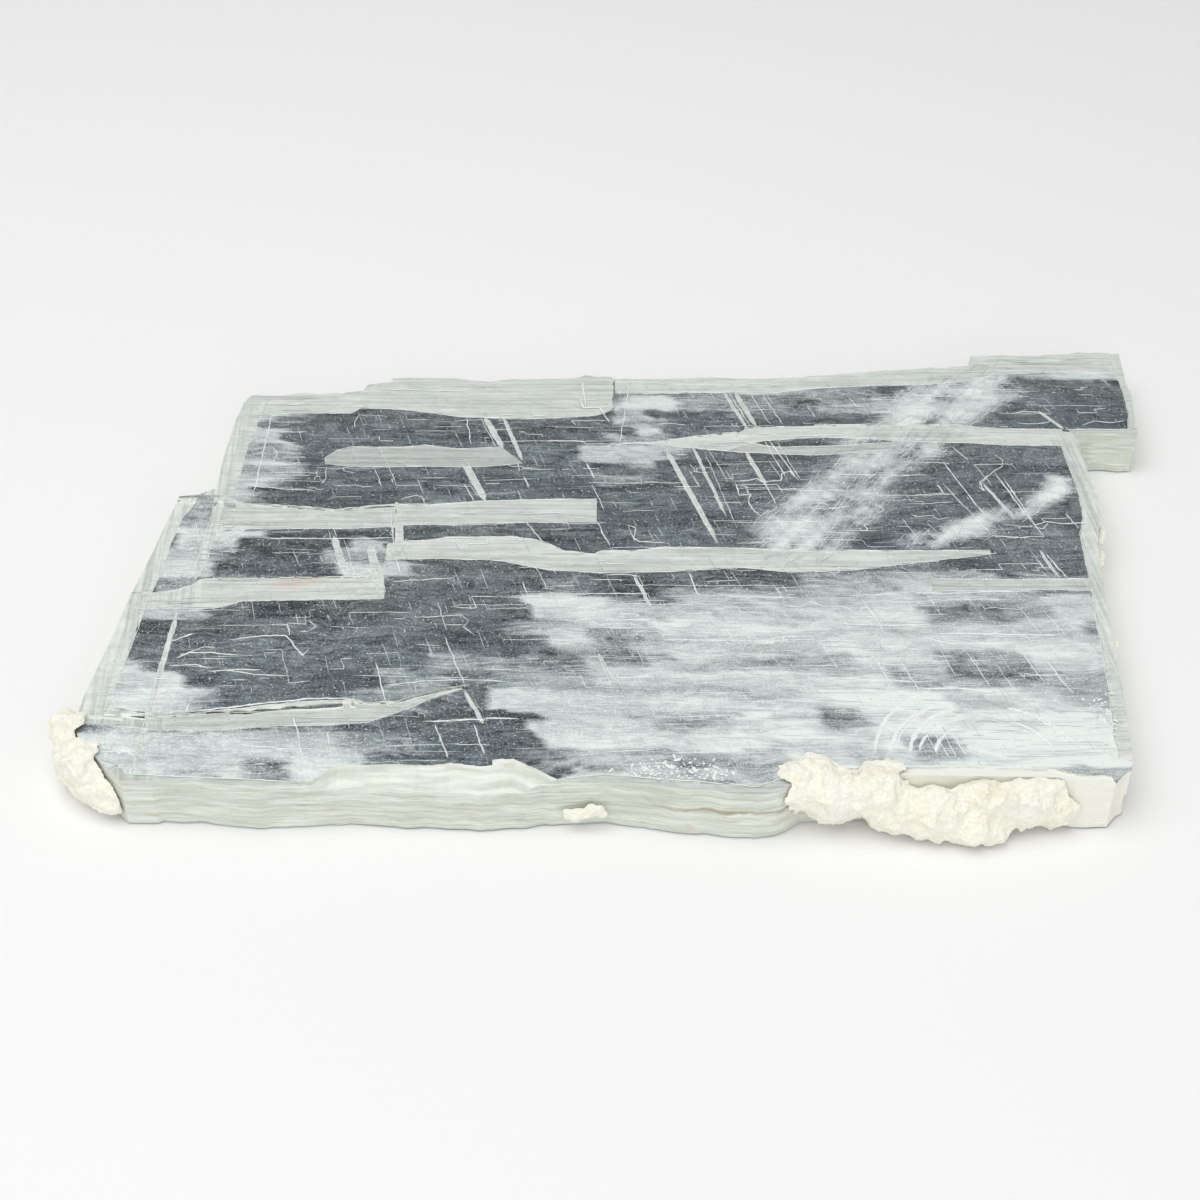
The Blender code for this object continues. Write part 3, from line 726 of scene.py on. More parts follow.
# Fine bright lines where leaves of crystal end: width, then the points.
LINES = (
    (0.30, (-74.0, 2.4), (-60.0, 2.2), (-50.0, 2.6)),
    (0.25, (-79.0, 19.2), (-72.0, 18.2), (-66.0, 17.5)),
    (0.40, (-79.8, -47.4), (-70.0, -45.6), (-60.0, -44.0), (-54.0, -43.8), (-52.5, -44.6)),
    (0.30, (-79.8, -47.4), (-79.6, -45.4)),
    (0.25, (-70.0, -55.0), (-61.0, -56.4)),
    (0.30, (-75.5, -28.4), (-70.0, -27.0), (-66.0, -27.2), (-64.4, -29.6), (-62.6, -32.6), (-61.6, -30.6)),
    (0.35, (-84.0, -33.4), (-82.0, -31.6), (-78.0, -31.8), (-73.4, -32.4)),
    (0.25, (-81.8, -31.6), (-79.6, -30.2), (-77.6, -30.4)),
    (0.30, (-84.6, -35.2), (-80.0, -35.0), (-78.0, -36.0)),
    (0.30, (-78.0, -36.8), (-73.0, -36.2), (-69.0, -36.4)),
    (0.25, (-75.0, -36.4), (-70.0, -37.6), (-64.0, -38.0)),
    (0.35, (-85.4, -28.6), (-83.4, -27.4), (-82.0, -26.4)),
    (0.25, (-49.0, -11.4), (-44.0, -11.0), (-38.0, -10.2)),
    (0.40, (-41.0, -49.4), (-33.0, -48.8), (-25.0, -49.2)),
    (0.25, (-48.0, -40.6), (-42.0, -39.4), (-35.0, -39.0), (-27.0, -39.6)),
    (0.20, (-14.0, 20.3), (-8.0, 20.0), (-3.0, 20.3)),
    (0.30, (13.8, 20.8), (16.5, 21.0), (18.0, 21.8), (19.0, 20.6), (22.5, 21.0), (22.9, 23.4),
     (24.6, 24.4), (25.3, 22.2)),
    (0.25, (13.8, 20.8), (14.3, 16.0), (16.4, 16.3), (16.0, 14.0), (17.0, 10.5), (18.0, 9.0)),
    (0.20, (14.4, 19.2), (15.8, 19.0), (16.2, 16.4)),
    (0.20, (46.5, 16.0), (50.0, 16.3), (55.5, 16.5)),
    (0.15, (46.0, 13.0), (54.5, 13.8)),
    (0.30, (60.0, 2.8), (65.0, 2.2), (69.5, 2.4)),
    (0.30, (68.0, 6.0), (70.5, 7.2), (74.0, 6.6), (78.4, 6.9)),
    (0.25, (68.2, 5.4), (70.0, 5.0), (71.2, 6.8)),
    (0.50, (46.0, -26.4), (56.0, -26.6), (66.0, -27.0), (67.6, -26.4)),
    (0.30, (44.0, -27.4), (46.0, -28.6), (47.5, -29.2), (59.0, -29.2)),
    (0.35, (67.0, -30.0), (64.6, -32.0), (63.8, -34.0)),
    (0.25, (30.0, -23.7), (37.0, -24.2), (45.0, -23.9)),
    (0.30, (36.0, -15.4), (42.0, -14.6), (50.0, -15.0), (58.0, -14.4), (64.0, -14.2)),
    (0.50, (42.0, -41.4), (47.0, -41.2), (53.0, -42.2)),
    (0.25, (26.0, -38.4), (33.0, -39.0), (40.0, -39.4)),
    (0.30, (-16.2, 53.0), (-15.3, 47.5), (-12.0, 47.8), (-10.2, 42.3), (-8.7, 41.0), (-1.5, 41.8)),
    (0.30, (-2.0, 34.4), (-5.0, 34.6), (-8.2, 34.2)),
    (0.20, (60.0, 19.0), (62.0, 22.0), (64.0, 24.6), (65.6, 26.0), (66.2, 28.4), (65.0, 30.0)),
    (0.25, (60.0, 19.0), (61.0, 17.6), (60.4, 20.2), (62.4, 23.0)),
    (0.20, (46.0, 10.0), (47.0, 9.0), (50.0, 9.2), (51.0, 8.0), (53.0, 8.6)),
    (0.25, (35.4, 5.4), (36.6, 4.2), (37.6, 4.8), (36.8, 6.0), (38.4, 6.6)),
    (0.25, (38.6, 11.0), (40.4, 12.4), (41.2, 11.0), (40.0, 10.2)),
    (0.30, (-6.8, 6.0), (-5.4, 5.2), (-5.8, 2.0), (-4.6, 0.8), (0.0, 0.6)),
    (0.20, (-6.8, 6.0), (-6.2, 3.6), (-5.6, 1.0)),
    (0.25, (-10.8, -9.4), (-7.0, -9.2), (-5.0, -10.0), (-4.4, -13.0)),
    (0.20, (-16.4, -23.0), (-14.0, -22.0), (-12.6, -23.6), (-10.8, -24.4)),
    (0.25, (-11.6, -22.6), (-8.0, -22.8), (-3.0, -22.4)),
    (0.20, (20.0, -18.4), (23.0, -19.0), (25.0, -17.4), (27.4, -19.0), (30.6, -18.6), (32.8, -20.4)),
    (0.30, (33.0, -20.4), (34.6, -18.8), (36.0, -22.0)),
    (0.25, (31.0, -33.0), (33.0, -34.0), (34.4, -32.6), (35.0, -35.4), (36.6, -37.0)),
    (0.20, (-60.2, 45.0), (-61.0, 42.0), (-60.6, 40.0)),
    (0.20, (-76.6, 33.6), (-75.0, 31.0), (-75.2, 27.6), (-72.0, 26.4), (-70.4, 27.6), (-70.0, 26.0)),
    (0.20, (-65.0, 26.0), (-64.4, 22.0), (-65.2, 19.6)),
    (0.20, (-49.6, 14.6), (-47.0, 16.0), (-45.6, 15.4), (-45.0, 13.2)),
    (0.20, (-44.0, -22.0), (-36.0, -21.2), (-34.8, -23.0), (-35.6, -24.6), (-33.4, -27.0)),
    (0.20, (-62.6, -22.6), (-61.0, -24.6), (-62.4, -26.0), (-63.8, -26.2)),
    (0.30, (71.0, 46.0), (73.0, 46.8), (76.4, 46.8)), (0.25, (71.4, 42.6), (75.0, 42.2), (78.0, 42.8)),
    (0.25, (84.0, 41.6), (87.0, 43.4), (90.0, 42.6), (93.0, 43.4)),
    (0.25, (-92.0, -57.0), (-88.0, -56.4), (-86.6, -57.6)), (0.45, (-89.4, -57.2), (-87.0, -56.2)),
)

LATTICE_SIZE = 64
LATTICE = np.random.default_rng(7).random((LATTICE_SIZE, LATTICE_SIZE)) * 2.0 - 1.0


def soft_step(value, low, high):
    """0 below the low value, 1 above the high one, and smooth between."""
    t = np.clip((value - low) / (high - low), 0.0, 1.0)
    return t * t * (3.0 - 2.0 * t)


def cloud(x, y, size_x, size_y, seed, octaves=3):
    """Smooth noise from -1 to 1 over points, with lumps of the given size in millimetres."""
    total = np.zeros_like(x, dtype=float)
    weight = 0.0
    for octave in range(octaves):
        scale = 2.0**octave
        u = x * scale / size_x + seed * 3.7 + octave * 11.3
        v = y * scale / size_y + seed * 5.1 + octave * 7.9
        iu, iv = np.floor(u).astype(int), np.floor(v).astype(int)
        fu, fv = soft_step(u - iu, 0.0, 1.0), soft_step(v - iv, 0.0, 1.0)
        u0, u1 = iu % LATTICE_SIZE, (iu + 1) % LATTICE_SIZE
        v0, v1 = iv % LATTICE_SIZE, (iv + 1) % LATTICE_SIZE
        a = LATTICE[u0, v0] * (1 - fu) + LATTICE[u1, v0] * fu
        b = LATTICE[u0, v1] * (1 - fu) + LATTICE[u1, v1] * fu
        total += (a * (1 - fv) + b * fv) / scale
        weight += 1.0 / scale
    return total / weight


def inside(polygon, x, y):
    """Which points lie in a polygon."""
    result = np.zeros(np.shape(x), bool)
    for index, (x1, y1) in enumerate(polygon):
        x0, y0 = polygon[index - 1]
        crosses = (y0 > y) != (y1 > y)
        with np.errstate(divide="ignore", invalid="ignore"):
            at = x0 + (y - y0) * (x1 - x0) / (y1 - y0 if y1 != y0 else 1e-9)
        result ^= crosses & (x < at)
    return result


def well_inside(x, y, room):
    """Which points lie on the plate with room to its edge on all four sides."""
    result = inside(OUTLINE, x, y)
    for dx, dy in ((room, 0.0), (-room, 0.0), (0.0, room), (0.0, -room)):
        result &= inside(OUTLINE, x + dx, y + dy)
    return result


def top_of(x, y):
    """Height of the plate's top face at points of the plan."""
    top = np.full(np.shape(x), THICK)
    for outline, drop in STEPS:
        top = np.where(inside(outline, x, y), THICK - drop, top)
    return top


def lengths(line):
    """How far along a broken line each of its points is."""
    return np.concatenate([[0.0], np.cumsum(np.linalg.norm(np.diff(line, axis=0), axis=1))])


def evenly(line, count):
    """So many points, evenly spaced along a broken line."""
    line = np.asarray(line, float)
    length = lengths(line)
    at = np.linspace(0.0, length[-1], count)
    return np.column_stack([np.interp(at, length, line[:, k]) for k in range(2)])


def along_line(line, spacing):
    """Points at about the given spacing along a broken line."""
    line = np.asarray(line, float)
    return evenly(line, max(3, int(lengths(line)[-1] / spacing) + 1))


def strip_cutter(outer, inner, pale, depth, seed, at_edge=False):
    """Cuts a shallow band between two lines, its floor sinking from the first line to the second."""
    n = max(4, len(along_line(outer, 0.5)), len(along_line(inner, 0.5)))
    a = evenly(outer, n)
    b = evenly(inner, n)
    across = b - a
    width = np.linalg.norm(across, axis=1)
    way = across / np.maximum(width, 1e-6)[:, None]
    if at_edge:
        a = a - way * PAST_EDGE
        across = b - a
        width = width + PAST_EDGE
    rows = (0.0, 0.07, 0.3, 0.55, 0.8, 1.0)
    floor = []
    for t in rows:
        ragged = cloud(a[:, 0] + t * 9.0, a[:, 1], 2.6, 2.6, seed + t * 7.0, 4)
        ragged = ragged * np.minimum(0.45, 0.10 * width)
        x = a[:, 0] + across[:, 0] * t + way[:, 0] * ragged
        y = a[:, 1] + across[:, 1] * t + way[:, 1] * ragged
        floor.append(np.column_stack([x, y, top_of(x, y) - (SHALLOW + (depth - SHALLOW) * t)]))
    lid = [np.column_stack([row[:, :2], np.full(n, THICK + 2.0)]) for row in (floor[0], floor[-1])]
    verts = np.concatenate(floor + lid)
    faces = []
    tones = []
    last = len(rows) - 1
    for row in range(last):
        tone = pale * (1.06, 0.97, 1.0, 0.94, 1.0)[row]
        for i in range(n - 1):
            a0 = row * n + i
            faces.append([a0, a0 + 1, a0 + n + 1, a0 + n])
            tones.append(min(1.0, tone))
    top0, top1 = (last + 1) * n, (last + 2) * n
    for low, high in ((0, top0), (last * n, top1)):
        for i in range(n - 1):
            faces.append([low + i, high + i, high + i + 1, low + i + 1])
            tones.append(pale)
    faces += [[top0 + i, top1 + i, top1 + i + 1, top0 + i + 1] for i in range(n - 1)]
    tones += [pale] * (n - 1)
    for end in (0, n - 1):
        faces.append([row * n + end for row in range(last + 1)] + [top1 + end, top0 + end])
        tones.append(pale)
    cutter = cutter_of(verts, faces)
    cutter.data.attributes.new("pale", "FLOAT", "FACE").data.foreach_set("value", tones)
    cutter.data.attributes.new("broken", "FLOAT", "FACE")
    return cutter


def bar_sides(x0, y0, x1, y1, width):
    """The two long sides of a cross-cleavage bar, pointed at both ends."""
    way = np.array((x1 - x0, y1 - y0))
    side = np.array((-way[1], way[0])) / np.linalg.norm(way) * width / 2.0
    start = np.array((x0, y0))
    part = ((0.0, 0.15), (0.12, 0.9), (0.5, 1.0), (0.88, 0.9), (1.0, 0.15))
    return (
        [tuple(start + way * t - side * w) for t, w in part],
        [tuple(start + way * t + side * w) for t, w in part],
    )


def ridge(width, points, seed):
    """A low bright ridge along the broken edge of a thin leaf on the top face."""
    line = along_line(points, RIDGE_STEP)
    line = line[well_inside(line[:, 0], line[:, 1], RIDGE_ROOM)]
    n = len(line)
    u = np.arange(n) * RIDGE_STEP
    line = line + np.column_stack(
        [cloud(u, u * 0.0, 1.6, 1.0, seed), cloud(u, u * 0.0, 1.6, 1.0, seed + 5.0)]
    ) * 0.22
    along = np.gradient(line, axis=0)
    side = np.column_stack([-along[:, 1], along[:, 0]])
    side /= np.linalg.norm(side, axis=1)[:, None] + 1e-9
    part = np.linspace(0.0, 1.0, n)
    taper = np.minimum(1.0, np.minimum(part, 1.0 - part) * 8.0 + 0.15)
    wide = width * 0.5 * taper * (1.0 + 0.6 * cloud(u, u * 0.0, 1.1, 1.0, seed + 9.0))
    verts = []
    for across, lift in ((-1.0, -0.06), (0.0, 0.03), (1.0, -0.06)):
        at = line + side * (wide * across)[:, None]
        verts.append(np.column_stack([at, top_of(line[:, 0], line[:, 1]) + 0.03 + lift]))
    verts = np.concatenate(verts)
    faces = [
        [row * n + i, row * n + i + 1, (row + 1) * n + i + 1, (row + 1) * n + i]
        for row in range(2)
        for i in range(n - 1)
    ]
    return verts, faces


def joined(parts):
    """The points and faces of many small meshes as one."""
    verts = []
    faces = []
    base = 0
    for v, f in parts:
        verts.append(v)
        faces += [[i + base for i in face] for face in f]
        base += len(v)
    return np.concatenate(verts), faces


# ---------------------------------------------------------------- milkiness of the top

# How milky a place is, and what milk a clear place or a window keeps.
THIN, MILKY, DENSE = 0.34, 0.70, 0.92
CLEAR = 0.12
WINDOW_MILK = 0.45

# The size along and across of the cells whose corners store the milk.
MILK_CELL = (1.6, 0.9)

# Slanting strands of feathery milk: half width, then the points of the middle line.
FEATHER = (
    (9.5, (67.0, 58.0), (54.0, 47.0), (42.0, 27.0), (34.0, 15.0), (24.0, 3.0)),
    (3.2, (77.0, 21.0), (68.0, 12.0), (58.0, 6.0), (46.0, 1.0)),
)

# Clouds in the top: middle x and y, half length, half width, turn in degrees, how milky.
HAZE = (
    (47.0, -28.0, 42.0, 22.0, 0.0, MILKY),
    (12.0, -38.0, 27.0, 27.0, 0.0, MILKY),
    (42.0, -53.0, 47.0, 16.0, 0.0, DENSE),
    (4.0, -58.0, 30.0, 12.0, 0.0, MILKY),
    (-17.0, -36.0, 12.0, 27.0, 0.0, MILKY),
    (-70.0, -58.0, 28.0, 9.0, 0.0, MILKY),
    (-91.0, -48.0, 9.0, 18.0, 0.0, MILKY),
    (-88.0, 0.0, 9.0, 24.0, 0.0, MILKY),
    (-80.0, 30.0, 4.0, 20.0, 0.0, MILKY),
    (84.0, 66.0, 22.0, 8.0, 0.0, MILKY),
    (-5.0, 38.0, 5.0, 19.0, 0.0, MILKY),
    (30.0, 50.0, 26.0, 8.0, 0.0, THIN),
    (-38.0, -38.0, 18.0, 7.0, 20.0, THIN),
    (-54.0, -4.0, 5.0, 8.0, 0.0, MILKY),
)

# Where the front rim has flaked into bright chips, and a faint rusty stain, in the same terms.
CHIPS = ((0.0, -62.0, 10.0, 3.0, 0.0, DENSE), (71.0, -50.0, 3.0, 9.0, 0.0, MILKY))
RUST = ((-66.0, -11.5, 7.0, 2.2, 15.0, MILKY),)

# Leaning clear windows left in the clouds: x from and to at the middle, y from and to.
WINDOWS = (
    (-11.5, 0.0, -18.0, -9.5),
    (-68.5, -61.0, -64.5, -58.5),
    (-13.0, -5.0, -36.0, -25.0),
    (-22.0, -14.0, -37.0, -31.0),
    (46.0, 61.0, -39.0, -31.0),
    (44.0, 60.0, -24.0, -18.0),
    (81.0, 94.0, 41.0, 56.0),
    (24.0, 32.0, -51.0, -46.5),
    (37.0, 46.5, -59.5, -53.0),
)

# How far the cross cleavage leans from the y direction.
CROSS_SLOPE = 0.30


def snapped(x, y, row_size, block_size, seed):
    """Places pulled to the middle of uneven rows and of the leaning blocks in each row."""
    draw = np.random.default_rng(seed)
    edges = np.cumsum(row_size * draw.uniform(0.35, 1.9, 200)) - 100.0
    row = np.searchsorted(edges, y)
    row_y = (edges[np.clip(row - 1, 0, 199)] + edges[np.clip(row, 0, 199)]) / 2.0
    lean = x + CROSS_SLOPE * y + draw.uniform(0.0, 100.0, 201)[row]
    ends = np.cumsum(block_size * draw.uniform(0.3, 1.9, 300)) - 200.0
    block = np.searchsorted(ends, lean)
    middle = (ends[np.clip(block - 1, 0, 299)] + ends[np.clip(block, 0, 299)]) / 2.0
    tone = draw.uniform(-1.0, 1.0, (201, 301))[row, block]
    return x + middle - lean, row_y, tone


def ellipse(x, y, row, soft=0.5):
    """How strongly one cloud of the tables covers each place."""
    cx, cy, long, wide, turn, milk = row
    c = math.cos(math.radians(turn))
    s = math.sin(math.radians(turn))
    u = ((x - cx) * c + (y - cy) * s) / long
    v = ((y - cy) * c - (x - cx) * s) / wide
    return milk * soft_step(1.15 - np.sqrt(u * u + v * v), 0.0, soft)


def off_line(x, y, line):
    """How far each place is from a line of points."""
    nearest = np.full(x.shape, 1.0e3)
    for (x0, y0), (x1, y1) in zip(line, line[1:]):
        run, rise = x1 - x0, y1 - y0
        along = np.clip(((x - x0) * run + (y - y0) * rise) / (run * run + rise * rise), 0.0, 1.0)
        nearest = np.minimum(nearest, np.hypot(x - x0 - along * run, y - y0 - along * rise))
    return nearest


def milkiness(x, y):
    """How milky the top is, and how far its streaks turn to follow the feather."""
    wx = x + 2.6 * cloud(x, y, 9.0, 5.0, 1.0, 4)
    wy = y + 1.4 * cloud(x, y, 9.0, 4.0, 2.0, 4)
    sx, sy, tone = snapped(wx, wy, 3.6, 13.0, 11)
    fine_tone = snapped(wx, wy, 1.1, 6.0, 12)[2]
    mx, my = 0.35 * wx + 0.65 * sx, 0.35 * wy + 0.65 * sy
    milk = np.full(x.shape, CLEAR)
    for row in HAZE:
        milk = np.maximum(milk, ellipse(mx, my, row))
    milk = milk * (1.0 + 0.12 * tone + 0.12 * fine_tone + 0.35 * cloud(x, y, 14.0, 4.0, 4.0, 4))
    milk = milk * (1.0 - 0.5 * np.maximum(1.15 - milk, 0.0) * soft_step(-tone, 0.35, 0.5))
    ragged_x = x + 1.5 * cloud(x, y, 5.0, 0.9, 6.0, 4)
    ragged_y = y + 0.9 * cloud(x, y, 4.0, 1.5, 7.0, 4)
    for x0, x1, y0, y1 in WINDOWS:
        lean = ragged_x + CROSS_SLOPE * (ragged_y - (y0 + y1) / 2.0)
        gap = np.minimum(
            np.minimum(lean - x0, x1 - lean), np.minimum(ragged_y - y0, y1 - ragged_y)
        )
        milk = milk * (1.0 - (1.0 - WINDOW_MILK) * soft_step(gap, -0.8, 1.2))
    feather = np.zeros(x.shape)
    fx = wx + 3.0 * cloud(x, y, 13.0, 9.0, 21.0, 4)
    fy = wy + 2.0 * cloud(x, y, 13.0, 9.0, 22.0, 4)
    for half_width, *line in FEATHER:
        feather = np.maximum(feather, soft_step(1.25 - off_line(fx, fy, line) / half_width, 0.0, 0.9))
    wisps = cloud(x * 0.55 + y * 0.83, y * 0.55 - x * 0.83, 12.0, 2.2, 8.0, 4)
    puffs = cloud(x, y, 8.0, 3.5, 23.0, 4)
    feather = feather * np.clip(0.62 + 0.8 * wisps + 0.4 * puffs, 0.0, 1.2)
    milk = np.maximum(milk, feather) + 0.2 * np.minimum(milk, feather)
    return np.clip(milk, 0.0, 1.0), soft_step(feather, 0.1, 0.4)


def split_top(bm, faces, axis, cell):
    """Splits flat faces along even lines, so that values on their corners can vary across them."""
    done = []
    places = [v.co[axis] for f in faces for v in f.verts]
    place = min(places) + cell / 2.0
    way = Vector((1.0, 0.0, 0.0)) if axis == 0 else Vector((0.0, 1.0, 0.0))
    while place < max(places) and faces:
        crossed, rest = [], []
        for face in faces:
            reach = [v.co[axis] for v in face.verts]
            if max(reach) <= place:
                done.append(face)
            elif min(reach) >= place:
                rest.append(face)
            else:
                crossed.append(face)
        if crossed:
            edges = {e for f in crossed for e in f.edges}
            verts = {v for f in crossed for v in f.verts}
            made = bmesh.ops.bisect_plane(
                bm,
                geom=crossed + list(edges) + list(verts),
                dist=1e-8,
                plane_co=way * place,
                plane_no=way,
            )
            rest += [g for g in made["geom"] if isinstance(g, bmesh.types.BMFace)]
        faces = rest
        place += cell
    return done + faces


def spread_milk(mesh):
    """Splits the plate's flat top finely, keeps the plate in its box, and stores its milk."""
    bm = bmesh.new()
    bm.from_mesh(mesh)
    top = [f for f in bm.faces if f.normal.z > FLAT and f.calc_center_median().z > LOWEST_TOP * MM]
    split_top(bm, split_top(bm, top, 0, MILK_CELL[0] * MM), 1, MILK_CELL[1] * MM)
    bm.to_mesh(mesh)
    bm.free()
    at = corners(mesh)
    low, high = (np.array(corner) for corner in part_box("selenite_slab"))
    mesh.vertices.foreach_set("co", np.clip(at, low, high).ravel())
    x, y, _ = (at / MM + PLAN_CENTRE).T
    milk, feather = milkiness(x, y)
    for name, values in (("haze", milk), ("feather", feather), ("rust", ellipse(x, y, RUST[0], 1.0))):
        mesh.attributes.new(name, "FLOAT", "POINT").data.foreach_set("value", values)


# ---------------------------------------------------------------- scattered slivers and specks

SLIVER_CORNERS = 6

# The grid that slivers are strewn over: from, to and step along x, then along y.
CARRIER_X = (-98.0, 99.0, 1.5)
CARRIER_Y = (-67.0, 71.5, 1.0)


def sliver_tree():
    """Strews pointed slivers over a surface, by the surface's own weight."""
    tree = bpy.data.node_groups.new("strewn_slivers", "GeometryNodeTree")
    face = tree.interface
    face.new_socket("Geometry", in_out="INPUT", socket_type="NodeSocketGeometry")
    for name in ("Density", "Length", "Width", "Turn", "Spread"):
        face.new_socket(name, in_out="INPUT", socket_type="NodeSocketFloat")
    face.new_socket("Seed", in_out="INPUT", socket_type="NodeSocketInt")
    face.new_socket("Material", in_out="INPUT", socket_type="NodeSocketMaterial")
    face.new_socket("Geometry", in_out="OUTPUT", socket_type="NodeSocketGeometry")
    net = Net(tree)
    given = net.nodes.new("NodeGroupInput").outputs

    def chance(low, high, step):
        """An even draw for each sliver."""
        node = net.nodes.new("FunctionNodeRandomValue")
        node.data_type = "FLOAT"
        node.inputs[2].default_value = low
        node.inputs[3].default_value = high
        net.feed(node.inputs["Seed"], net.add(given["Seed"], float(step)))
        return node.outputs[1]

    weight = net.put("GeometryNodeInputNamedAttribute", 0, {"data_type": "FLOAT"}, Name="weight")
    points = net.put(
        "GeometryNodeDistributePointsOnFaces", "Points",
        Mesh=given["Geometry"], Density=net.mul(given["Density"], weight), Seed=given["Seed"],
    )
    leaf = net.put(
        "GeometryNodeMeshCircle", "Mesh", {"fill_type": "NGON"}, Vertices=SLIVER_CORNERS, Radius=0.5
    )
    short = chance(0.0, 1.0, 1)
    long = net.add(net.mul(short, short, 0.85), 0.15)
    wide = net.mul(given["Width"], chance(0.3, 1.0, 2))
    size = net.put("ShaderNodeCombineXYZ", X=net.mul(given["Length"], long), Y=wide, Z=1.0)
    swing = net.mul(given["Spread"], chance(-1.0, 1.0, 3))
    turn = net.put("ShaderNodeCombineXYZ", Z=net.add(given["Turn"], swing))
    placed = net.put(
        "GeometryNodeInstanceOnPoints", "Instances",
        Points=points, Instance=leaf, Rotation=turn, Scale=size,
    )
    toned = net.put(
        "GeometryNodeStoreNamedAttribute", "Geometry", {"data_type": "FLOAT", "domain": "INSTANCE"},
        Name="tone", Geometry=placed, Value=chance(0.0, 1.0, 4),
    )
    real = net.put("GeometryNodeRealizeInstances", "Geometry", Geometry=toned)
    painted = net.put("GeometryNodeSetMaterial", "Geometry", Geometry=real, Material=given["Material"])
    net.feed(net.nodes.new("NodeGroupOutput").inputs["Geometry"], painted)
    return tree


def carrier(weigh):
    """The plate's top as a plain grid that carries how thickly slivers lie."""
    gx, gy = np.meshgrid(np.arange(*CARRIER_X), np.arange(*CARRIER_Y))
    milk, feather = milkiness(gx, gy)
    weight = weigh(gx, gy, milk, feather) * inside(OUTLINE, gx, gy)
    index = np.arange(gx.size).reshape(gx.shape)
    faces = np.column_stack(
        [g.ravel() for g in (index[:-1, :-1], index[:-1, 1:], index[1:, 1:], index[1:, :-1])]
    )
    live = weight.ravel()[faces].max(axis=1) > 0.0
    points = np.column_stack([gx.ravel(), gy.ravel(), np.full(gx.size, THICK)])
    mesh = mesh_of("carrier", points, faces[live].tolist())
    mesh.attributes.new("weight", "FLOAT", "POINT").data.foreach_set("value", weight.ravel())
    return mesh


def chips(x, y, milk, feather):
    """How thickly chips lie, whatever the milk there."""
    return np.maximum.reduce([ellipse(x, y, row) for row in CHIPS])


def strewn(name, tree, weigh, settings, material, depth=(-0.03, -0.005)):
    """One piece of strewn slivers, none past an edge or a step. A negative depth is above the top."""
    obj = bpy.data.objects.new(name, carrier(weigh))
    bpy.context.scene.collection.objects.link(obj)
    modifier = obj.modifiers.new("slivers", "NODES")
    modifier.node_group = tree
    wanted = dict(settings, Material=material)
    for item in tree.interface.items_tree:
        if item.in_out == "INPUT" and item.name in wanted:
            modifier[item.identifier] = wanted[item.name]
    baked(obj)
    mesh = obj.data
    bpy.data.objects.remove(obj)
    at = corners(mesh) / MM + PLAN_CENTRE
    tone = np.empty(len(at))
    mesh.attributes["tone"].data.foreach_get("value", tone)
    x, y = at[:, 0], at[:, 1]
    safe = well_inside(x, y, SLIVER_ROOM)
    beside = (x > BEVEL_FROM - BEVEL_ROOM) & (x < BEVEL_TO + BEVEL_ROOM)
    safe &= ~(beside & (y < BEVEL_FRONT + BEVEL_REACH + BEVEL_ROOM))
    top = top_of(x, y).reshape(-1, SLIVER_CORNERS)
    keep = safe.reshape(-1, SLIVER_CORNERS).all(axis=1) & (top.max(axis=1) == top.min(axis=1))
    groups = at.reshape(-1, SLIVER_CORNERS, 3)[keep]
    draw = np.random.default_rng(len(groups))
    groups[:, :, 2] = top[keep] - draw.uniform(depth[0], depth[1], len(groups))[:, None]
    tone = tone.reshape(-1, SLIVER_CORNERS)[keep].ravel()
    faces = np.arange(len(groups) * SLIVER_CORNERS).reshape(-1, SLIVER_CORNERS)
    mesh = mesh_of(name, groups.reshape(-1, 3), faces.tolist())
    mesh.attributes.new("tone", "FLOAT", "POINT").data.foreach_set("value", tone)
    return show(piece(name, mesh, material), SELENITE)


def shells(centre, radii, span, seed):
    """Rounded cracks, one outside the other, that open around one place on the front rim."""
    draw = np.random.default_rng(seed)
    made = []
    for radius in radii:
        start, end = np.radians(np.array(span) + draw.uniform(-6.0, 6.0, 2))
        turns = np.linspace(start, end, 9)
        stretch = draw.uniform(0.95, 1.1)
        points = [
            (centre[0] + radius * math.cos(t), centre[1] + radius * stretch * math.sin(t))
            for t in turns
        ]
        made.append(ridge(draw.uniform(0.4, 1.1), points, seed * 20.0 + len(made)))
    return made


def curls(count, seed, size=1.0):
    """Jagged curls where leaves have sprung from the top, small ones unless given a size."""
    draw = np.random.default_rng(seed)
    made = []
    while len(made) < count:
        x, y = draw.uniform(-92.0, 92.0), draw.uniform(-60.0, 66.0)
        points = [(x, y)]
        lean = draw.uniform(-1.0, 1.0)
        for _ in range(draw.integers(3, 7)):
            if draw.random() < 0.5:
                x += size * draw.uniform(0.8, 3.2) * (1.0 if lean > -0.4 else -1.0)
                y += draw.uniform(-0.25, 0.25)
            else:
                step = size * draw.uniform(-1.6, 1.6)
                y += step
                x -= step * CROSS_SLOPE + draw.uniform(-0.2, 0.2)
            points.append((x, y))
        px, py = np.array(points).T
        if inside(OUTLINE, px, py).all() and len(set(top_of(px, py))) == 1:
            if inside(OUTLINE, px + 3.0, py).all() and inside(OUTLINE, px - 3.0, py - 3.0).all():
                made.append(ridge(draw.uniform(0.10, 0.20), points, 900.0 + len(made)))
    return made


# ---------------------------------------------------------------- the crust

# How far the crust's lumps stand out, its pits and the whole skin sink in, and its room in its box.
LUMP_HEIGHT = 0.20
PIT_DEPTH = 0.16
CRUST_SHRINK = 0.02
INSIDE_BOX = 0.01
COARSE_GRAIN, FINE_GRAIN = 0.32, 0.2


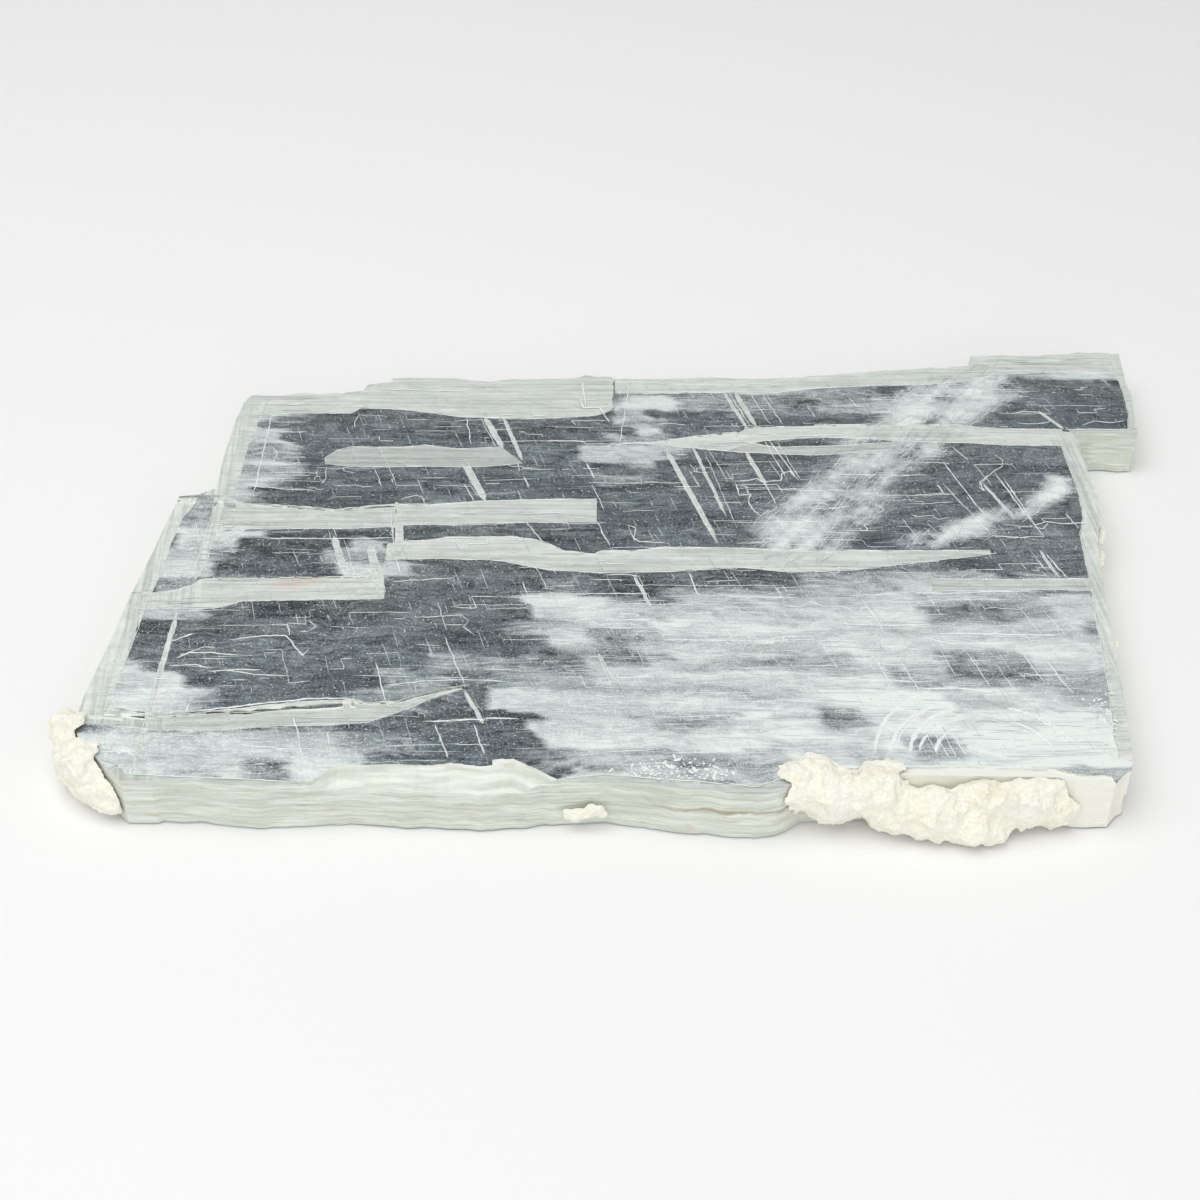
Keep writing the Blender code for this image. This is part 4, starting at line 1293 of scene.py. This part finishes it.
def crust_piece(node, grain, material):
    """The rough crust in full detail: its faceted skin remeshed finely and roughened inwards."""
    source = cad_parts[node]
    obj = bpy.data.objects.new(node + "_grains", source.data.copy())
    bpy.context.scene.collection.objects.link(obj)
    skin = obj.modifiers.new("fine_skin", "REMESH")
    skin.mode = "VOXEL"
    skin.voxel_size = grain * MM
    baked(obj)
    mesh = obj.data
    low, high = (np.array(c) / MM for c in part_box(node))
    at = corners(mesh) / MM
    normals = np.empty(at.size)
    mesh.vertex_normals.foreach_get("vector", normals)
    push = np.empty(len(at))
    for index, place in enumerate(at):
        lumps = noise.fractal(Vector(place) * 0.7, 0.8, 2.1, 5)
        pits = noise.voronoi(Vector(place) * 1.6)[0][0]
        push[index] = LUMP_HEIGHT * lumps - PIT_DEPTH * min(pits, 0.9) - CRUST_SHRINK
    at += normals.reshape(-1, 3) * push[:, None]
    at = np.clip(at, low + INSIDE_BOX, high - INSIDE_BOX)
    mesh.vertices.foreach_set("co", (at * MM).ravel())
    mesh.materials.clear()
    mesh.materials.append(material)
    mesh.update()
    bpy.context.scene.collection.objects.unlink(obj)
    return obj


# ---------------------------------------------------------------- building

clear = selenite_material()
white = fracture_material()
cream = crust_material()

body = plate_mesh()
body.attributes.new("pale", "FLOAT", "FACE")
body.attributes.new("broken", "FLOAT", "FACE")
plate = piece("selenite_plate", body, clear)
bpy.context.scene.collection.objects.link(plate)
for seed, (outline, drop) in enumerate(STEPS, 1):
    cut(plate, prism(outline, THICK - drop, ABOVE, float(seed)))
cut(plate, bevel_cutter())
for index, (outer, inner, pale_value, at_edge) in enumerate(BANDS):
    cut(plate, strip_cutter(outer, inner, pale_value, BAND_DEPTH, index * 5.0, at_edge))
for index, row in enumerate(BARS):
    if row[4] >= CUT_WIDTH:
        cut(plate, strip_cutter(*bar_sides(*row), 1.0, BAR_DEPTH, 100.0 + index))
mark_faces(plate.data)
spread_milk(plate.data)
bpy.context.scene.collection.objects.unlink(plate)
show(plate, SELENITE, "selenite_slab")

fine_bars = [(row[4], row[0:2], row[2:4]) for row in BARS if row[4] < CUT_WIDTH]
ridges = [ridge(row[0], row[1:], 3.0 * i) for i, row in enumerate(LINES)]
for index, (outer, inner, pale_value, at_edge) in enumerate(BANDS):
    borders = (inner,) if at_edge else (outer, inner)
    ridges += [ridge(BORDER_WIDTH, line, 300.0 + index + 40.0 * i) for i, line in enumerate(borders)]
for index, row in enumerate(BARS):
    if row[4] >= CUT_WIDTH:
        ridges += [ridge(BORDER_WIDTH, side, 400.0 + index) for side in bar_sides(*row)]
ridges += shells((50.0, -59.0), (8.5, 11.0, 12.6, 14.6, 15.6, 18.0), (108.0, 176.0), 31)
ridges += shells((52.0, -58.5), (9.0, 11.5, 12.5), (14.0, 70.0), 32)
show(piece("cleavage_step_lines", mesh_of("ridges", *joined(ridges)), white), SELENITE)
hairs = [ridge(row[0] * 0.8, row[1:], 3.0 * i + 500.0) for i, row in enumerate(fine_bars)]
show(piece("cross_cleavage_hairs", mesh_of("hairs", *joined(hairs)), white), SELENITE)

show(piece("cleavage_curls", mesh_of("curls", *joined(curls(150, 5) + curls(70, 6, 2.6))), white), SELENITE)

frosted = fracture_material(by_tone=True)
tree = sliver_tree()
along = {"Turn": 0.0, "Spread": math.radians(4.0)}
across = {"Turn": math.radians(106.5), "Spread": math.radians(3.0)}
slanting = {"Turn": math.radians(52.0), "Spread": math.radians(16.0)}
anyhow = {"Turn": 0.0, "Spread": math.pi}
strewn(
    "long_streaks", tree, lambda x, y, milk, feather: np.clip(milk * 1.3 - 0.12, 0.04, 1.0),
    dict(along, Density=2.6e5, Length=0.013, Width=0.00022, Seed=3), frosted,
)
strewn(
    "cross_streaks", tree, lambda x, y, milk, feather: 0.35 + 0.65 * (milk > 0.25),
    dict(across, Density=6.0e4, Length=0.008, Width=0.00013, Seed=5), frosted,
)
strewn(
    "feather_strands", tree, lambda x, y, milk, feather: feather,
    dict(slanting, Density=8.0e5, Length=0.006, Width=0.00017, Seed=7), frosted,
)
strewn(
    "pale_specks", tree, lambda x, y, milk, feather: 1.0 + 0.0 * milk,
    dict(anyhow, Density=6.0e5, Length=0.00055, Width=0.00022, Seed=9), frosted,
)


strewn(
    "bright_chips", tree, chips,
    dict(anyhow, Density=1.6e6, Length=0.0017, Width=0.0007, Seed=13), white, (-0.08, -0.01),
)

for node in sorted(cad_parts):
    if node.startswith("crust"):
        grain = COARSE_GRAIN if "front_" in node else FINE_GRAIN
        show(crust_piece(node, grain, cream), MATRIX, node)

# ---------------------------------------------------------------- floor, light and camera

bpy.ops.mesh.primitive_plane_add(size=6.0, location=(0.0, 0.0, -0.0003))
floor = bpy.context.object
floor.name = "floor"
pale, _, shader = new_material("pale_floor")
shader.inputs["Base Color"].default_value = (0.92, 0.92, 0.92, 1.0)
shader.inputs["Roughness"].default_value = 0.9
floor.data.materials.append(pale)

world = bpy.data.worlds.new("soft_room")
bpy.context.scene.world = world
world.use_nodes = True
background = world.node_tree.nodes["Background"]
background.inputs["Color"].default_value = (1.0, 1.0, 1.0, 1.0)
background.inputs["Strength"].default_value = 0.5


def soft_light(name, location, size, power):
    """A rectangle of light that faces the slab."""
    light = bpy.data.lights.new(name, "AREA")
    light.shape = "RECTANGLE"
    light.size = size[0]
    light.size_y = size[1]
    light.energy = power
    obj = bpy.data.objects.new(name, light)
    obj.location = location
    obj.rotation_euler = (-Vector(location)).to_track_quat("-Z", "Y").to_euler()
    bpy.context.scene.collection.objects.link(obj)


soft_light("top_light", (-0.25, -0.15, 0.9), (0.9, 0.9), 5.0)
soft_light("front_light", (0.2, -0.9, 0.45), (0.8, 0.5), 2.0)

CAMERA_PLACE = (-0.0096, -0.29785, 0.2213)
LENS = 60.0
LOOK_DOWN = 37.0

camera_data = bpy.data.cameras.new("camera")
camera_data.sensor_width = 36.0
camera_data.lens = LENS
camera_data.clip_start = 0.01
camera_data.clip_end = 20.0
camera = bpy.data.objects.new("camera", camera_data)
camera.location = CAMERA_PLACE
camera.rotation_euler = (math.radians(90.0 - LOOK_DOWN), 0.0, 0.0)
bpy.context.scene.collection.objects.link(camera)
bpy.context.scene.camera = camera

view = bpy.context.scene.view_settings
view.view_transform = "Standard"
cycles = bpy.context.scene.cycles
cycles.max_bounces = 16
cycles.transmission_bounces = 12
cycles.transparent_max_bounces = 16
